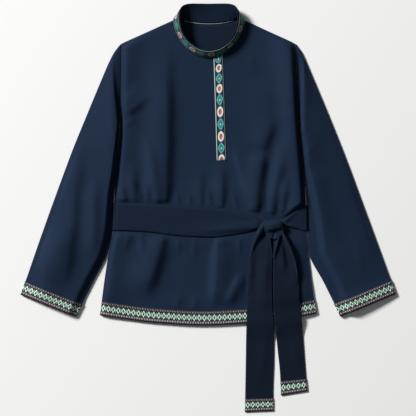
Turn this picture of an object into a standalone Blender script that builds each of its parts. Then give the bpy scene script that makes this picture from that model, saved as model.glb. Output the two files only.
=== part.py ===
"""A woven pullover tunic with a stand collar and a knotted sash, laid flat on a surface, front up.

Metres, +Z up. The hem lies towards -Y and the collar towards +Y. The wearer's left side is at +X.
The origin is under the middle of the whole garment, on the surface that it rests on.
Each piece is cloth of an even thickness: an open surface, worked out from the tables below, with Solidify.
"""

import math
from typing import NamedTuple

import bmesh
import bpy
import numpy as np

# Cloth and seams
CLOTH = 0.0012
RIBBON = 0.0010
SASH = 0.0018
COLLAR = 0.0020
PIPING = 0.0016
GAP = 0.0003
SLIT = 0.0006

# Body
SHOULDER_TIP_X = 0.2089
SHOULDER_TIP_Y = 0.3950
UNDERARM_Y = 0.2150
NECK_CENTRE_X = 0.0015
NECK_CENTRE_Y = 0.4520
NECK_HALF_WIDTH = 0.0860
NECK_DEPTH = 0.0910
COLLAR_LENGTH = 0.4600
COLLAR_BULGE = 0.0012
BAND_WIDTH = 0.0340
PLACKET_FOOT_Y = 0.1154
SLIT_TOP_X = 0.0350
SLIT_HEM_X = 0.0570
PLACKET_COLUMNS = 2

# How the front lies over the back
FRONT_SLACK = 0.0010
FRONT_EDGE_RUN = 0.0120
ROLL_LEFT = 0.0050
SKIRT_RISE = 0.0072
SKIRT_RUN = 0.046
SKIRT_START_X = 0.095
SKIRT_START_RUN = 0.055
SKIRT_BELT_RUN = 0.060
ROLL_END_RUN = 0.008
ROLL_RIGHT = 0.0128
ROLL_PLACE = 0.0155
ROLL_OUTER_WIDTH = 0.0120
ROLL_INNER_WIDTH = 0.0320
ARMHOLE_LIFT = 0.0017
NECK_EDGE_LIFT = 0.0007
NECK_RUN = 0.0240
SHOULDER_RUN = 0.0160
BAND_HOLD = 0.30
BAND_RUN = 0.0300
LIFT_RUN = 0.0120
EARLY_RUN = 0.0180
EARLY_SLOPE = 0.0450
HEM_NECK_X = 0.1280
FOLD_WANDER = 0.0014
GATHER_SHARE = 0.50
GATHER_RUN = 0.0600

# How a sleeve's upper side rises from its inner edge and falls to its outer one
CROWN_RUN = 0.0185
CROWN_POWER = 1.5
CROWN_HEAD_POWER = 8.0
CROWN_HEAD_SHARE = 0.30
STILL_EDGE = 0.25
STILL_HEAD = 0.12
STILL_CUFF = 0.60
STILL_CUFF_START = 0.86
STILL_CUFF_RUN = 0.10

# Belt and knot
BELT_PRESS_RUN = 0.0140
BELT_BACK_LEVEL = SASH + 0.00005
BELT_ARCH = 0.0032
BELT_FULL_WIDTH = 0.0650
BELT_KNOT_WIDTH = 0.0120
BELT_LEFT_X = -0.2255
BELT_RIGHT_X = 0.2345
BELT_MARGIN = 0.0020
KNOT_X = 0.1570
KNOT_Y = -0.0475
KNOT_HALF_WIDTH = 0.0230
KNOT_WRAP_REACH = 0.0205
KNOT_FOOT_REACH = 0.0265
KNOT_WRAP_EDGE = 0.0040
KNOT_FOOT_SHARE = 0.55
KNOT_RIM = 0.0030
KNOT_HEIGHT = 0.0090
KNOT_CLEARANCE = 0.0009

# Tails
TAIL_PRESS_RUN = 0.0140
TAIL_CLEARANCE = 0.0007
TAIL_DROP_SLOPE = 0.22
TAIL_REACH = 0.0440
TAIL_BAND = 0.0300
TAIL_ROOT_ROWS = 0.35

# Sewn details
PLACKET_INSET = 0.0015
PIPING_INSET = 0.0022
PIPING_TURN = 0.125
PIPING_STEPS = 24

# Colours of cloth, sash and ribbons
NAVY = (0.0110, 0.0194, 0.0395, 1.0)
BLACK_RIBBON = (0.0130, 0.0150, 0.0160, 1.0)
GREEN_RIBBON = (0.0100, 0.0750, 0.0700, 1.0)
GREY_PIPING = (0.2700, 0.3300, 0.3500, 1.0)


class BodySide(NamedTuple):
    """Where the two side edges of the body lie at a height y."""

    y: float
    left: float
    right: float


class HemPoint(NamedTuple):
    """The lower edge of the body."""

    x: float
    y: float


class NeckSection(NamedTuple):
    """Half the collar's section: base and top edge, as a distance out from the neck's middle, y and z."""

    base_out: float
    base_y: float
    base_z: float
    top_out: float
    top_y: float
    top_z: float


class SleeveSection(NamedTuple):
    """Across a sleeve: its outer and inner edge, their rounding, the crown and where it starts."""

    outer_x: float
    outer_y: float
    inner_x: float
    inner_y: float
    radius: float
    crown: float
    crown_start: float


class BeltEdge(NamedTuple):
    """The upper and lower edge of the sash across the front."""

    x: float
    top: float
    bottom: float


class TailSection(NamedTuple):
    """A section across a hanging end of the sash."""

    left_x: float
    left_y: float
    right_x: float
    right_y: float


class Fold(NamedTuple):
    """A fold's crest, its height, its reach to each side and how it swells and dies away."""

    start_x: float
    start_y: float
    end_x: float
    end_y: float
    height: float
    left: float
    right: float
    swell: float
    fade: float


BODY_SIDES = (
    BodySide(-0.2570, -0.2600, 0.2605),
    BodySide(-0.2010, -0.2530, 0.2515),
    BodySide(-0.1630, -0.2480, 0.2470),
    BodySide(-0.1120, -0.2395, 0.2410),
    BodySide(-0.0780, -0.2325, 0.2382),
    BodySide(-0.0560, -0.2275, 0.2360),
    BodySide(-0.0200, -0.2258, 0.2348),
    BodySide(0.0120, -0.2250, 0.2338),
    BodySide(0.0440, -0.2240, 0.2324),
    BodySide(0.0800, -0.2214, 0.2300),
    BodySide(0.1160, -0.2184, 0.2272),
    BodySide(0.1500, -0.2156, 0.2244),
    BodySide(UNDERARM_Y, -0.2112, 0.2196),
    BodySide(SHOULDER_TIP_Y, -SHOULDER_TIP_X, SHOULDER_TIP_X),
)

HEM = (
    HemPoint(-0.2600, -0.2570),
    HemPoint(-0.2000, -0.2665),
    HemPoint(-0.1300, -0.2750),
    HemPoint(-0.0130, -0.2815),
    HemPoint(0.1300, -0.2735),
    HemPoint(0.2000, -0.2640),
    HemPoint(0.2605, -0.2530),
)

# From the middle of the front to the middle of the back
NECK_SECTIONS = (
    NeckSection(0.0000, 0.3610, 0.0050, 0.0000, 0.3775, 0.0235),
    NeckSection(0.0200, 0.3640, 0.0050, 0.0170, 0.3800, 0.0235),
    NeckSection(0.0400, 0.3740, 0.0050, 0.0340, 0.3875, 0.0238),
    NeckSection(0.0580, 0.3895, 0.0050, 0.0485, 0.3990, 0.0244),
    NeckSection(0.0730, 0.4105, 0.0050, 0.0605, 0.4150, 0.0252),
    NeckSection(0.0830, 0.4330, 0.0048, 0.0670, 0.4345, 0.0260),
    NeckSection(0.0860, 0.4515, 0.0042, 0.0695, 0.4530, 0.0268),
    NeckSection(0.0795, 0.4600, 0.0036, 0.0700, 0.4665, 0.0265),
    NeckSection(0.0690, 0.4575, 0.0030, 0.0670, 0.4780, 0.0240),
    NeckSection(0.0590, 0.4535, 0.0026, 0.0595, 0.4855, 0.0195),
    NeckSection(0.0460, 0.4495, 0.0024, 0.0460, 0.4895, 0.0150),
    NeckSection(0.0240, 0.4460, 0.0024, 0.0240, 0.4903, 0.0112),
    NeckSection(0.0000, 0.4450, 0.0024, 0.0000, 0.4903, 0.0095),
)
SHOULDER_SECTION = 6

RIGHT_SLEEVE_SECTIONS = (
    SleeveSection(-0.2103, 0.3950, -0.2116, 0.2150, 0.0018, 0.0000, 0.0030),
    SleeveSection(-0.2265, 0.3740, -0.2126, 0.2000, 0.0018, 0.0040, 0.0030),
    SleeveSection(-0.2375, 0.3530, -0.2139, 0.1820, 0.0018, 0.0110, 0.0030),
    SleeveSection(-0.2635, 0.2925, -0.2174, 0.1350, 0.0018, 0.0150, 0.0030),
    SleeveSection(-0.2935, 0.2200, -0.2224, 0.0720, 0.0018, 0.0156, 0.0030),
    SleeveSection(-0.3250, 0.1430, -0.2278, 0.0160, 0.0018, 0.0152, 0.0030),
    SleeveSection(-0.3460, 0.0870, -0.2289, -0.0200, 0.0018, 0.0142, 0.0030),
    SleeveSection(-0.3680, 0.0270, -0.2306, -0.0570, 0.0019, 0.0126, 0.0030),
    SleeveSection(-0.3925, -0.0410, -0.2410, -0.1060, 0.0020, 0.0106, 0.0030),
    SleeveSection(-0.4215, -0.1240, -0.2790, -0.1820, 0.0021, 0.0090, 0.0030),
    SleeveSection(-0.4500, -0.2080, -0.3180, -0.2600, 0.0022, 0.0082, 0.0030),
)

LEFT_SLEEVE_SECTIONS = (
    SleeveSection(0.2103, 0.3950, 0.2200, 0.2150, 0.0018, 0.0000, 0.0030),
    SleeveSection(0.2255, 0.3735, 0.2216, 0.2000, 0.0018, 0.0040, 0.0030),
    SleeveSection(0.2345, 0.3530, 0.2229, 0.1820, 0.0018, 0.0110, 0.0030),
    SleeveSection(0.2600, 0.2930, 0.2262, 0.1350, 0.0018, 0.0150, 0.0050),
    SleeveSection(0.2905, 0.2200, 0.2311, 0.0720, 0.0018, 0.0156, 0.0090),
    SleeveSection(0.3215, 0.1430, 0.2367, 0.0160, 0.0018, 0.0152, 0.0140),
    SleeveSection(0.3430, 0.0870, 0.2379, -0.0200, 0.0018, 0.0142, 0.0180),
    SleeveSection(0.3650, 0.0270, 0.2389, -0.0570, 0.0019, 0.0126, 0.0220),
    SleeveSection(0.3900, -0.0410, 0.2416, -0.1060, 0.0020, 0.0106, 0.0230),
    SleeveSection(0.4200, -0.1230, 0.2790, -0.1810, 0.0021, 0.0090, 0.0200),
    SleeveSection(0.4500, -0.2060, 0.3180, -0.2600, 0.0022, 0.0082, 0.0120),
)

BELT_EDGES = (
    BeltEdge(-0.2300, 0.0115, -0.0535),
    BeltEdge(-0.1540, 0.0090, -0.0560),
    BeltEdge(-0.1000, 0.0060, -0.0630),
    BeltEdge(-0.0490, 0.0020, -0.0675),
    BeltEdge(0.0080, -0.0025, -0.0695),
    BeltEdge(0.0640, -0.0070, -0.0625),
    BeltEdge(0.0920, -0.0135, -0.0575),
    BeltEdge(0.1135, -0.0225, -0.0520),
    BeltEdge(0.1345, -0.0320, -0.0450),
    BeltEdge(0.1570, -0.0300, -0.0430),
    BeltEdge(0.1790, -0.0280, -0.0410),
    BeltEdge(0.1950, -0.0180, -0.0455),
    BeltEdge(0.2110, -0.0060, -0.0500),
    BeltEdge(0.2350, 0.0070, -0.0550),
)

LONG_TAIL_SECTIONS = (
    TailSection(0.1335, -0.0430, 0.1545, -0.0450),
    TailSection(0.1200, -0.0510, 0.1552, -0.0560),
    TailSection(0.1115, -0.0660, 0.1556, -0.0700),
    TailSection(0.1060, -0.0850, 0.1556, -0.0880),
    TailSection(0.1010, -0.1100, 0.1545, -0.1120),
    TailSection(0.0965, -0.1450, 0.1532, -0.1450),
    TailSection(0.0945, -0.1850, 0.1530, -0.1850),
    TailSection(0.0928, -0.2350, 0.1542, -0.2350),
    TailSection(0.0915, -0.2850, 0.1585, -0.2850),
    TailSection(0.0902, -0.3700, 0.1578, -0.3700),
    TailSection(0.0890, -0.4400, 0.1556, -0.4390),
    TailSection(0.0880, -0.4900, 0.1560, -0.4870),
)

SHORT_TAIL_SECTIONS = (
    TailSection(0.1560, -0.0450, 0.1800, -0.0430),
    TailSection(0.1567, -0.0560, 0.1805, -0.0540),
    TailSection(0.1572, -0.0700, 0.1840, -0.0680),
    TailSection(0.1572, -0.0880, 0.1915, -0.0860),
    TailSection(0.1562, -0.1120, 0.2020, -0.1100),
    TailSection(0.1550, -0.1450, 0.2135, -0.1400),
    TailSection(0.1548, -0.1850, 0.2175, -0.1850),
    TailSection(0.1562, -0.2350, 0.2200, -0.2350),
    TailSection(0.1612, -0.2850, 0.2255, -0.2820),
    TailSection(0.1668, -0.3400, 0.2295, -0.3370),
    TailSection(0.1728, -0.4000, 0.2340, -0.3950),
    TailSection(0.1750, -0.4500, 0.2382, -0.4400),
)

FRONT_FOLDS = (
    Fold(-0.1020, 0.4100, -0.1040, 0.0080, 0.0118, 0.0440, 0.0185, 0.45, 0.04),
    Fold(-0.2023, 0.2258, -0.1300, 0.2800, 0.0060, 0.0120, 0.0260, 0.15, 0.65),
    Fold(-0.1512, 0.1877, -0.1200, 0.0080, 0.0070, 0.0120, 0.0170, 0.50, 0.03),
    Fold(-0.1460, 0.0800, -0.1430, 0.0090, 0.0044, 0.0090, 0.0090, 0.60, 0.03),
    Fold(-0.1860, 0.1150, -0.1730, 0.0100, 0.0064, 0.0150, 0.0120, 0.60, 0.03),
    Fold(-0.0200, 0.1100, -0.0170, 0.0020, 0.0032, 0.0150, 0.0100, 0.70, 0.04),
    Fold(0.0300, 0.1280, 0.0330, 0.0000, 0.0066, 0.0180, 0.0120, 0.70, 0.04),
    Fold(0.0560, 0.1750, 0.1080, -0.0040, 0.0038, 0.0090, 0.0230, 0.40, 0.05),
    Fold(0.1400, 0.3300, 0.1350, 0.1500, 0.0042, 0.0500, 0.0250, 0.40, 0.40),
    Fold(0.1540, 0.2300, 0.1262, 0.1300, 0.0080, 0.0300, 0.0150, 0.60, 0.25),
    Fold(0.1290, 0.1450, 0.1130, -0.0090, 0.0112, 0.0280, 0.0150, 0.25, 0.04),
    Fold(0.1830, 0.1700, 0.1490, -0.0150, 0.0100, 0.0140, 0.0180, 0.50, 0.04),
    Fold(0.1900, 0.0850, 0.1760, -0.0100, 0.0058, 0.0090, 0.0100, 0.50, 0.04),
    Fold(-0.1110, -0.0690, -0.1580, -0.2200, 0.0125, 0.0440, 0.0210, 0.02, 0.35),
    Fold(0.0230, -0.0700, 0.0180, -0.2400, 0.0102, 0.0130, 0.0360, 0.02, 0.25),
    Fold(-0.1640, -0.0600, -0.1560, -0.1100, 0.0040, 0.0110, 0.0100, 0.02, 0.60),
    Fold(-0.0700, -0.2050, -0.0740, -0.2420, 0.0018, 0.0090, 0.0080, 0.60, 0.20),
    Fold(-0.0300, -0.2050, -0.0330, -0.2450, 0.0016, 0.0080, 0.0080, 0.60, 0.20),
    Fold(0.0450, -0.2350, 0.0840, -0.1500, 0.0060, 0.0160, 0.0110, 0.30, 0.40),
)

SLEEVE_FOLDS = (
    Fold(-0.3070, 0.1750, -0.3470, -0.1950, 0.0070, 0.0340, 0.0180, 0.35, 0.15),
    Fold(-0.3480, -0.0100, -0.3980, -0.2200, 0.0130, 0.0300, 0.0370, 0.45, 0.05),
    Fold(-0.2700, 0.0900, -0.2800, -0.1250, 0.0050, 0.0180, 0.0150, 0.35, 0.25),
    Fold(0.2330, 0.2000, 0.2480, 0.0850, 0.0026, 0.0080, 0.0250, 0.40, 0.30),
    Fold(0.2470, 0.1000, 0.2860, -0.0950, 0.0036, 0.0080, 0.0260, 0.20, 0.40),
    Fold(0.3300, 0.1500, 0.3900, -0.1600, 0.0026, 0.0420, 0.0300, 0.40, 0.30),
)

TAIL_FOLDS = (
    Fold(0.1270, -0.0440, 0.1070, -0.0820, 0.0036, 0.0090, 0.0060, 0.05, 0.45),
    Fold(0.1470, -0.0500, 0.1440, -0.1200, 0.0024, 0.0060, 0.0070, 0.05, 0.70),
    Fold(0.1675, -0.0560, 0.1590, -0.1180, 0.0026, 0.0050, 0.0050, 0.05, 0.55),
    Fold(0.1770, -0.0520, 0.2060, -0.1300, 0.0036, 0.0080, 0.0070, 0.05, 0.60),
)

# Mesh counts
SHOULDER_STEPS = 10
NECK_STEPS_LEFT = 14
NECK_STEPS_RIGHT = 8
EDGE_STEPS = (0.0, 0.012, 0.045, 0.080, 0.130)
BACK_EDGE_STEPS = (0.0, 0.030, 0.100)
BAND_STEPS = 2
SKIRT_STEPS = 7
BELT_STEPS = 3
GATHER_STEPS = 6
CHEST_STEPS = 9
BACK_SHOULDER_STEPS = 5
BACK_NECK_STEPS = 10
SLEEVE_STATIONS = 17
SLEEVE_TOP_STEPS = 13
SLEEVE_EDGE_STEPS = 3
SLEEVE_BOTTOM_STEPS = 3
COLLAR_STATIONS = 36
COLLAR_SHARES = (0.0, 0.08, 0.34, 0.60, 0.86, 1.0)
TAIL_STEPS = 7
TAIL_ROWS = 24


def column(table, name):
    """One named column of a table."""
    return np.array([getattr(row, name) for row in table])


def smooth_read(keys, values, at):
    """Values between the rows of a table, on a curve that turns smoothly and never swings past a row."""
    steps = np.diff(keys)
    rises = np.diff(values) / steps
    slopes = np.zeros(len(keys))
    same_way = rises[:-1] * rises[1:] > 0.0
    before = rises[:-1][same_way]
    after = rises[1:][same_way]
    slopes[1:-1][same_way] = 2.0 * before * after / (before + after)
    slopes[0] = rises[0]
    slopes[-1] = rises[-1]
    at = np.clip(at, keys[0], keys[-1])
    i = np.clip(np.searchsorted(keys, at) - 1, 0, len(steps) - 1)
    t = (at - keys[i]) / steps[i]
    held = (1.0 + 2.0 * t) * (1.0 - t) ** 2 * values[i] + t * t * (3.0 - 2.0 * t) * values[i + 1]
    turned = t * (1.0 - t) ** 2 * slopes[i] - t * t * (1.0 - t) * slopes[i + 1]
    return held + steps[i] * turned


def ease(amount):
    """0 below 0, 1 above 1, and a smooth step between."""
    t = np.clip(amount, 0.0, 1.0)
    return t * t * (3.0 - 2.0 * t)


def bump(distance, width):
    """A soft hump, 1 in its middle."""
    return np.exp(-((distance / width) ** 2))


def side_edges(y):
    """The body's left and right edge at a height y."""
    heights = column(BODY_SIDES, "y")
    left = smooth_read(heights, column(BODY_SIDES, "left"), y)
    right = smooth_read(heights, column(BODY_SIDES, "right"), y)
    return left, right


def hem_y(x):
    """The hem's height at x."""
    return smooth_read(column(HEM, "x"), column(HEM, "y"), x)


def band_top(x):
    """The upper edge of the hem's ribbon."""
    return hem_y(x) + BAND_WIDTH


def belt_top(x):
    """The sash's upper edge across the front."""
    return smooth_read(column(BELT_EDGES, "x"), column(BELT_EDGES, "top"), x)


def belt_bottom(x):
    """The sash's lower edge across the front."""
    return smooth_read(column(BELT_EDGES, "x"), column(BELT_EDGES, "bottom"), x)


def fold_height(folds, x, y, gather=1.0):
    """How far a table's folds lift the cloth at x, y. Gathered by a share, they are narrower and lower."""
    x = x + FOLD_WANDER * (np.sin(23.0 * y) + 0.5 * np.sin(57.0 * y + 40.0 * x))
    total = np.zeros(np.broadcast(x, y).shape)
    for fold in folds:
        run_x = fold.end_x - fold.start_x
        run_y = fold.end_y - fold.start_y
        length = math.hypot(run_x, run_y)
        along = ((x - fold.start_x) * run_x + (y - fold.start_y) * run_y) / length**2
        t = np.clip(along, 0.0, 1.0)
        off_x = x - fold.start_x - t * run_x
        off_y = y - fold.start_y - t * run_y
        to_left = off_x * run_y - off_y * run_x > 0.0
        reach = np.where(to_left, fold.left, fold.right) * gather
        strength = ease((t + 0.02) / (fold.swell + 0.02)) * ease((1.02 - t) / (fold.fade + 0.02))
        total = total + fold.height * gather * strength * bump(np.hypot(off_x, off_y), reach)
    return total


def tail_press(x, y):
    """0 under the sash's hanging ends, where the front lies still, and 1 away from them."""
    free = np.ones(np.broadcast(x, y).shape)
    for sections in (LONG_TAIL_SECTIONS, SHORT_TAIL_SECTIONS):
        heights = column(sections, "left_y")[::-1]
        left = smooth_read(heights, column(sections, "left_x")[::-1], y)
        right = smooth_read(heights, column(sections, "right_x")[::-1], y)
        away = np.maximum(np.maximum(left - x, x - right), 0.0)
        above = np.maximum(y - sections[0].left_y, 0.0)
        free = np.minimum(free, ease(np.hypot(away, above) / TAIL_PRESS_RUN))
    return free


def from_belt(x, y):
    """How far a place on the front is above or below the sash."""
    return np.maximum(np.maximum(y - belt_top(x), belt_bottom(x) - y), 0.0)


def back_underside(x, y):
    """The back panel lies on the surface, and rises over the hem's ribbon and the sash beneath it."""
    over_band = 1.0 - ease((y - band_top(x) - BELT_MARGIN / 2.0) / LIFT_RUN)
    belt_low, belt_high = back_belt_edges(x)
    away = np.maximum(np.maximum(y - belt_high, belt_low - y) - BELT_MARGIN, 0.0)
    over_belt = 1.0 - ease(away / LIFT_RUN)
    return np.maximum((RIBBON + GAP) * over_band, (SASH + GAP) * over_belt)


def back_belt_edges(x):
    """The lower and upper edge of the sash behind the body, straight from side to side."""
    share = np.clip((x - BELT_LEFT_X) / (BELT_RIGHT_X - BELT_LEFT_X), 0.0, 1.0)
    low = belt_bottom(BELT_LEFT_X) * (1.0 - share) + belt_bottom(BELT_RIGHT_X) * share
    high = belt_top(BELT_LEFT_X) * (1.0 - share) + belt_top(BELT_RIGHT_X) * share
    return low, high


def front_rest(x, y):
    """The level that the front would lie at with no fold, just over the back."""
    over_band = 1.0 - ease((y - band_top(x) - EARLY_RUN) / EARLY_SLOPE)
    belt_low, belt_high = back_belt_edges(x)
    away = np.maximum(np.maximum(y - belt_high, belt_low - y) - EARLY_RUN, 0.0)
    over_belt = 1.0 - ease(away / EARLY_SLOPE)
    return CLOTH + GAP + np.maximum((RIBBON + GAP) * over_band, (SASH + GAP) * over_belt)


def side_roll(distance):
    """The roll along a side edge at a distance from it: steep outside, gentle inside."""
    width = np.where(distance > ROLL_PLACE, ROLL_INNER_WIDTH, ROLL_OUTER_WIDTH)
    return bump(distance - ROLL_PLACE, width)


def front_underside(x, y):
    """The inner face of the front: rolled at its sides, folded between them and still under the sash."""
    left, right = side_edges(y)
    from_left = x - left
    from_right = right - x
    from_side = np.maximum(np.minimum(from_left, from_right), 0.0)
    neck_share = np.hypot((x - NECK_CENTRE_X) / NECK_HALF_WIDTH, (y - NECK_CENTRE_Y) / NECK_DEPTH)
    from_neck = np.maximum(neck_share - 1.0, 0.0) * NECK_HALF_WIDTH
    from_shoulder = np.maximum(shoulder_y(x) - y, 0.0)
    edges = ease(from_side / FRONT_EDGE_RUN) * ease(from_shoulder / SHOULDER_RUN)
    neck = ease(from_neck / NECK_RUN)
    hold = BAND_HOLD + (1.0 - BAND_HOLD) * ease((y - hem_y(x) - 0.75 * BAND_WIDTH) / BAND_RUN)
    away = from_belt(x, y)
    press = ease(away / BELT_PRESS_RUN) * tail_press(x, y)
    gather = 1.0 - GATHER_SHARE * (1.0 - ease(away / GATHER_RUN))
    below_belt = belt_bottom(x) - y
    right_roll = ROLL_RIGHT * side_roll(from_right) * (1.0 - ease(below_belt / ROLL_END_RUN))
    roll = ROLL_LEFT * side_roll(from_left) + right_roll
    slope = SKIRT_RISE * ease(from_right / SKIRT_RUN) * ease((x - SKIRT_START_X) / SKIRT_START_RUN)
    lift = (roll + fold_height(FRONT_FOLDS, x, y, gather)) * hold * press * neck
    lift = lift + slope * ease(below_belt / SKIRT_BELT_RUN) * hold
    middle = (UNDERARM_Y + SHOULDER_TIP_Y) / 2.0
    armhole = ARMHOLE_LIFT * ease(1.6 * (1.0 - np.abs(y - middle) / (SHOULDER_TIP_Y - middle)))
    at_side = 1.0 - ease((from_side - 0.5 * FRONT_EDGE_RUN) / (2.0 * FRONT_EDGE_RUN))
    at_neck = NECK_EDGE_LIFT * (1.0 - neck)
    return front_rest(x, y) + edges * (FRONT_SLACK + lift) + armhole * at_side + at_neck * edges


def shoulder_y(x):
    """The shoulder line's height at x."""
    side = np.clip((np.abs(x) - NECK_HALF_WIDTH) / (SHOULDER_TIP_X - NECK_HALF_WIDTH), 0.0, 1.0)
    return NECK_SECTIONS[SHOULDER_SECTION].base_y * (1.0 - side) + SHOULDER_TIP_Y * side


def neck_ring(names, turns):
    """Points of the collar's sections at some turns, from the middle of the front (0) round to 1."""
    half = np.array([[getattr(row, name) for name in names] for row in NECK_SECTIONS])
    mirrored = half[-2:0:-1] * np.array([-1.0, 1.0, 1.0])
    ring = np.vstack((half, mirrored))
    count = len(ring)
    place = (turns % 1.0) * count
    i = np.floor(place).astype(int) % count
    t = (place - np.floor(place))[:, None]
    before = ring[(i - 1) % count]
    start = ring[i]
    end = ring[(i + 1) % count]
    after = ring[(i + 2) % count]
    curve = start * (2.0 - 5.0 * t**2 + 3.0 * t**3) + end * (t + 4.0 * t**2 - 3.0 * t**3)
    curve = (curve + before * (2.0 * t**2 - t - t**3) + after * (t**3 - t**2)) / 2.0
    return curve + np.array([NECK_CENTRE_X, 0.0, 0.0])


def even_turns(first, last, steps):
    """Turns round the neck, evenly spaced along the collar's base."""
    fine = np.linspace(first, last, 400)
    base = neck_ring(("base_out", "base_y", "base_z"), fine)
    lengths = np.concatenate(([0.0], np.cumsum(np.linalg.norm(np.diff(base, axis=0), axis=1))))
    return np.interp(np.linspace(0.0, lengths[-1], steps + 1), lengths, fine)


def slit_turn():
    """The turn at which the neck opening's slit meets the collar's base."""
    fine = np.linspace(0.0, 0.20, 400)
    base = neck_ring(("base_out", "base_y", "base_z"), fine)
    return float(np.interp(SLIT_TOP_X, base[:, 0], fine))


def panel_columns(neck_turns, edge_steps, shoulder_steps, slit_column):
    """The ends of a body panel's columns: x at the hem, and x and y at the shoulder or neck."""
    steps = np.concatenate((edge_steps, np.linspace(edge_steps[-1], 1.0, shoulder_steps)[1:]))
    base = neck_ring(("base_out", "base_y", "base_z"), neck_turns)
    left_x = -SHOULDER_TIP_X + steps * (base[0, 0] + SHOULDER_TIP_X)
    left_y = SHOULDER_TIP_Y + steps * (base[0, 1] - SHOULDER_TIP_Y)
    right_x = (SHOULDER_TIP_X + steps * (base[-1, 0] - SHOULDER_TIP_X))[::-1]
    right_y = (SHOULDER_TIP_Y + steps * (base[-1, 1] - SHOULDER_TIP_Y))[::-1]
    top_x = np.concatenate((left_x, base[1:-1, 0], right_x))
    top_y = np.concatenate((left_y, base[1:-1, 1], right_y))
    left_hem = HEM[0].x + steps * (-HEM_NECK_X - HEM[0].x)
    right_hem = (HEM[-1].x + steps * (HEM_NECK_X - HEM[-1].x))[::-1]
    if slit_column is None:
        middle_hem = np.linspace(-HEM_NECK_X, HEM_NECK_X, len(neck_turns))[1:-1]
    else:
        to_slit = np.linspace(-HEM_NECK_X, SLIT_HEM_X, slit_column - len(steps) + 2)[1:]
        from_slit = np.linspace(SLIT_HEM_X, HEM_NECK_X, len(top_x) - slit_column - len(steps) + 1)[1:-1]
        middle_hem = np.concatenate((to_slit, from_slit))
    return np.concatenate((left_hem, middle_hem, right_hem)), top_x, top_y


def panel_places(hem_x, top_x, top_y, levels):
    """The x and y of a panel's points: a row for each level, which is a function of x, up from the hem."""
    share = np.linspace(0.0, 1.0, len(hem_x))
    hem_line = hem_y(hem_x)
    places = []
    for level in levels:
        x = hem_x.copy()
        for _ in range(4):
            y = level(x)
            up = (y - hem_line) / (top_y - hem_line)
            straight = hem_x + (top_x - hem_x) * up
            left, right = side_edges(y)
            under_tip = y < SHOULDER_TIP_Y
            to_left = np.where(under_tip, left - straight_side(-1.0, y), 0.0)
            to_right = np.where(under_tip, right - straight_side(1.0, y), 0.0)
            x = straight + (1.0 - share) ** 3 * to_left + share**3 * to_right
        places.append(np.stack((x, y), axis=1))
    return np.array(places)


def straight_side(side, y):
    """A straight line from the hem's corner to the shoulder's tip, on one side."""
    corner = HEM[0] if side < 0.0 else HEM[-1]
    up = (y - corner.y) / (SHOULDER_TIP_Y - corner.y)
    return corner.x + (side * SHOULDER_TIP_X - corner.x) * up


def between(lower, upper, share):
    """A level at a share of the way from one level to another."""
    return lambda x: lower(x) * (1.0 - share) + upper(x) * share


def panel_levels(bounds, steps):
    """Levels up a panel: each pair of bounds is divided at the shares that steps gives for it."""
    levels = [bounds[0]]
    for lower, upper, shares in zip(bounds[:-1], bounds[1:], steps):
        levels += [between(lower, upper, share) for share in shares]
    return levels


def even(count):
    """Equal shares up to 1."""
    return [(i + 1) / count for i in range(count)]


def front_places():
    """The places of the front's points, the column of its slit, and the rows where each part of it starts."""
    turn = slit_turn()
    side_turn = SHOULDER_SECTION / (2.0 * (len(NECK_SECTIONS) - 1))
    left_turns = even_turns(-side_turn, turn, NECK_STEPS_LEFT)
    right_turns = even_turns(turn, side_turn, NECK_STEPS_RIGHT)
    turns = np.concatenate((left_turns, right_turns[1:]))
    slit_column = len(EDGE_STEPS) + SHOULDER_STEPS - 2 + NECK_STEPS_LEFT
    hem_x, top_x, top_y = panel_columns(turns, EDGE_STEPS, SHOULDER_STEPS, slit_column)
    top_x[slit_column] = SLIT_TOP_X
    neckline = lambda x: top_y
    slit_x = (SLIT_TOP_X + SLIT_HEM_X) / 2.0
    foot = (PLACKET_FOOT_Y - belt_top(slit_x)) / (top_y[slit_column] - belt_top(slit_x))
    gathers = [foot * ((i + 1) / GATHER_STEPS) ** 1.35 for i in range(GATHER_STEPS)]
    chest = [foot + (1.0 - foot) * share for share in (np.array(even(CHEST_STEPS)) ** 0.93)]
    bounds = (hem_y, band_top, belt_bottom, belt_top, neckline)
    steps = (even(BAND_STEPS), even(SKIRT_STEPS), even(BELT_STEPS), gathers + chest)
    levels = panel_levels(bounds, steps)
    rows = {"band": BAND_STEPS, "belt": BAND_STEPS + SKIRT_STEPS}
    rows["chest"] = rows["belt"] + BELT_STEPS
    rows["foot"] = rows["chest"] + GATHER_STEPS
    return panel_places(hem_x, top_x, top_y, levels), slit_column, rows


def back_places():
    """The places of the back's points. Its second row is at the top of its hem ribbon."""
    side_turn = SHOULDER_SECTION / (2.0 * (len(NECK_SECTIONS) - 1))
    turns = even_turns(1.0 - side_turn, side_turn, BACK_NECK_STEPS)
    hem_x, top_x, top_y = panel_columns(turns, BACK_EDGE_STEPS, BACK_SHOULDER_STEPS, None)
    band_rise = lambda x: band_top(x) + LIFT_RUN
    belt_fall = lambda x: back_belt_edges(x)[0] - LIFT_RUN
    belt_low = lambda x: back_belt_edges(x)[0] - BELT_MARGIN
    belt_high = lambda x: back_belt_edges(x)[1] + BELT_MARGIN
    belt_rise = lambda x: back_belt_edges(x)[1] + LIFT_RUN
    neckline = lambda x: top_y
    bounds = (hem_y, band_top, band_rise, belt_fall, belt_low, belt_high, belt_rise, neckline)
    steps = (even(1), even(2), even(2), even(2), even(BELT_STEPS), even(2), even(6))
    return panel_places(hem_x, top_x, top_y, panel_levels(bounds, steps))


def with_height(places, height):
    """Places with their heights."""
    z = height(places[..., 0], places[..., 1])
    return np.concatenate((places, z[..., None]), axis=2)


def moved_out(points, distance):
    """A surface's points moved out along its normals."""
    along_row = np.gradient(points, axis=1)
    along_column = np.gradient(points, axis=0)
    normals = np.cross(along_row, along_column)
    normals /= np.linalg.norm(normals, axis=2, keepdims=True)
    return points + distance * normals


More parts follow.
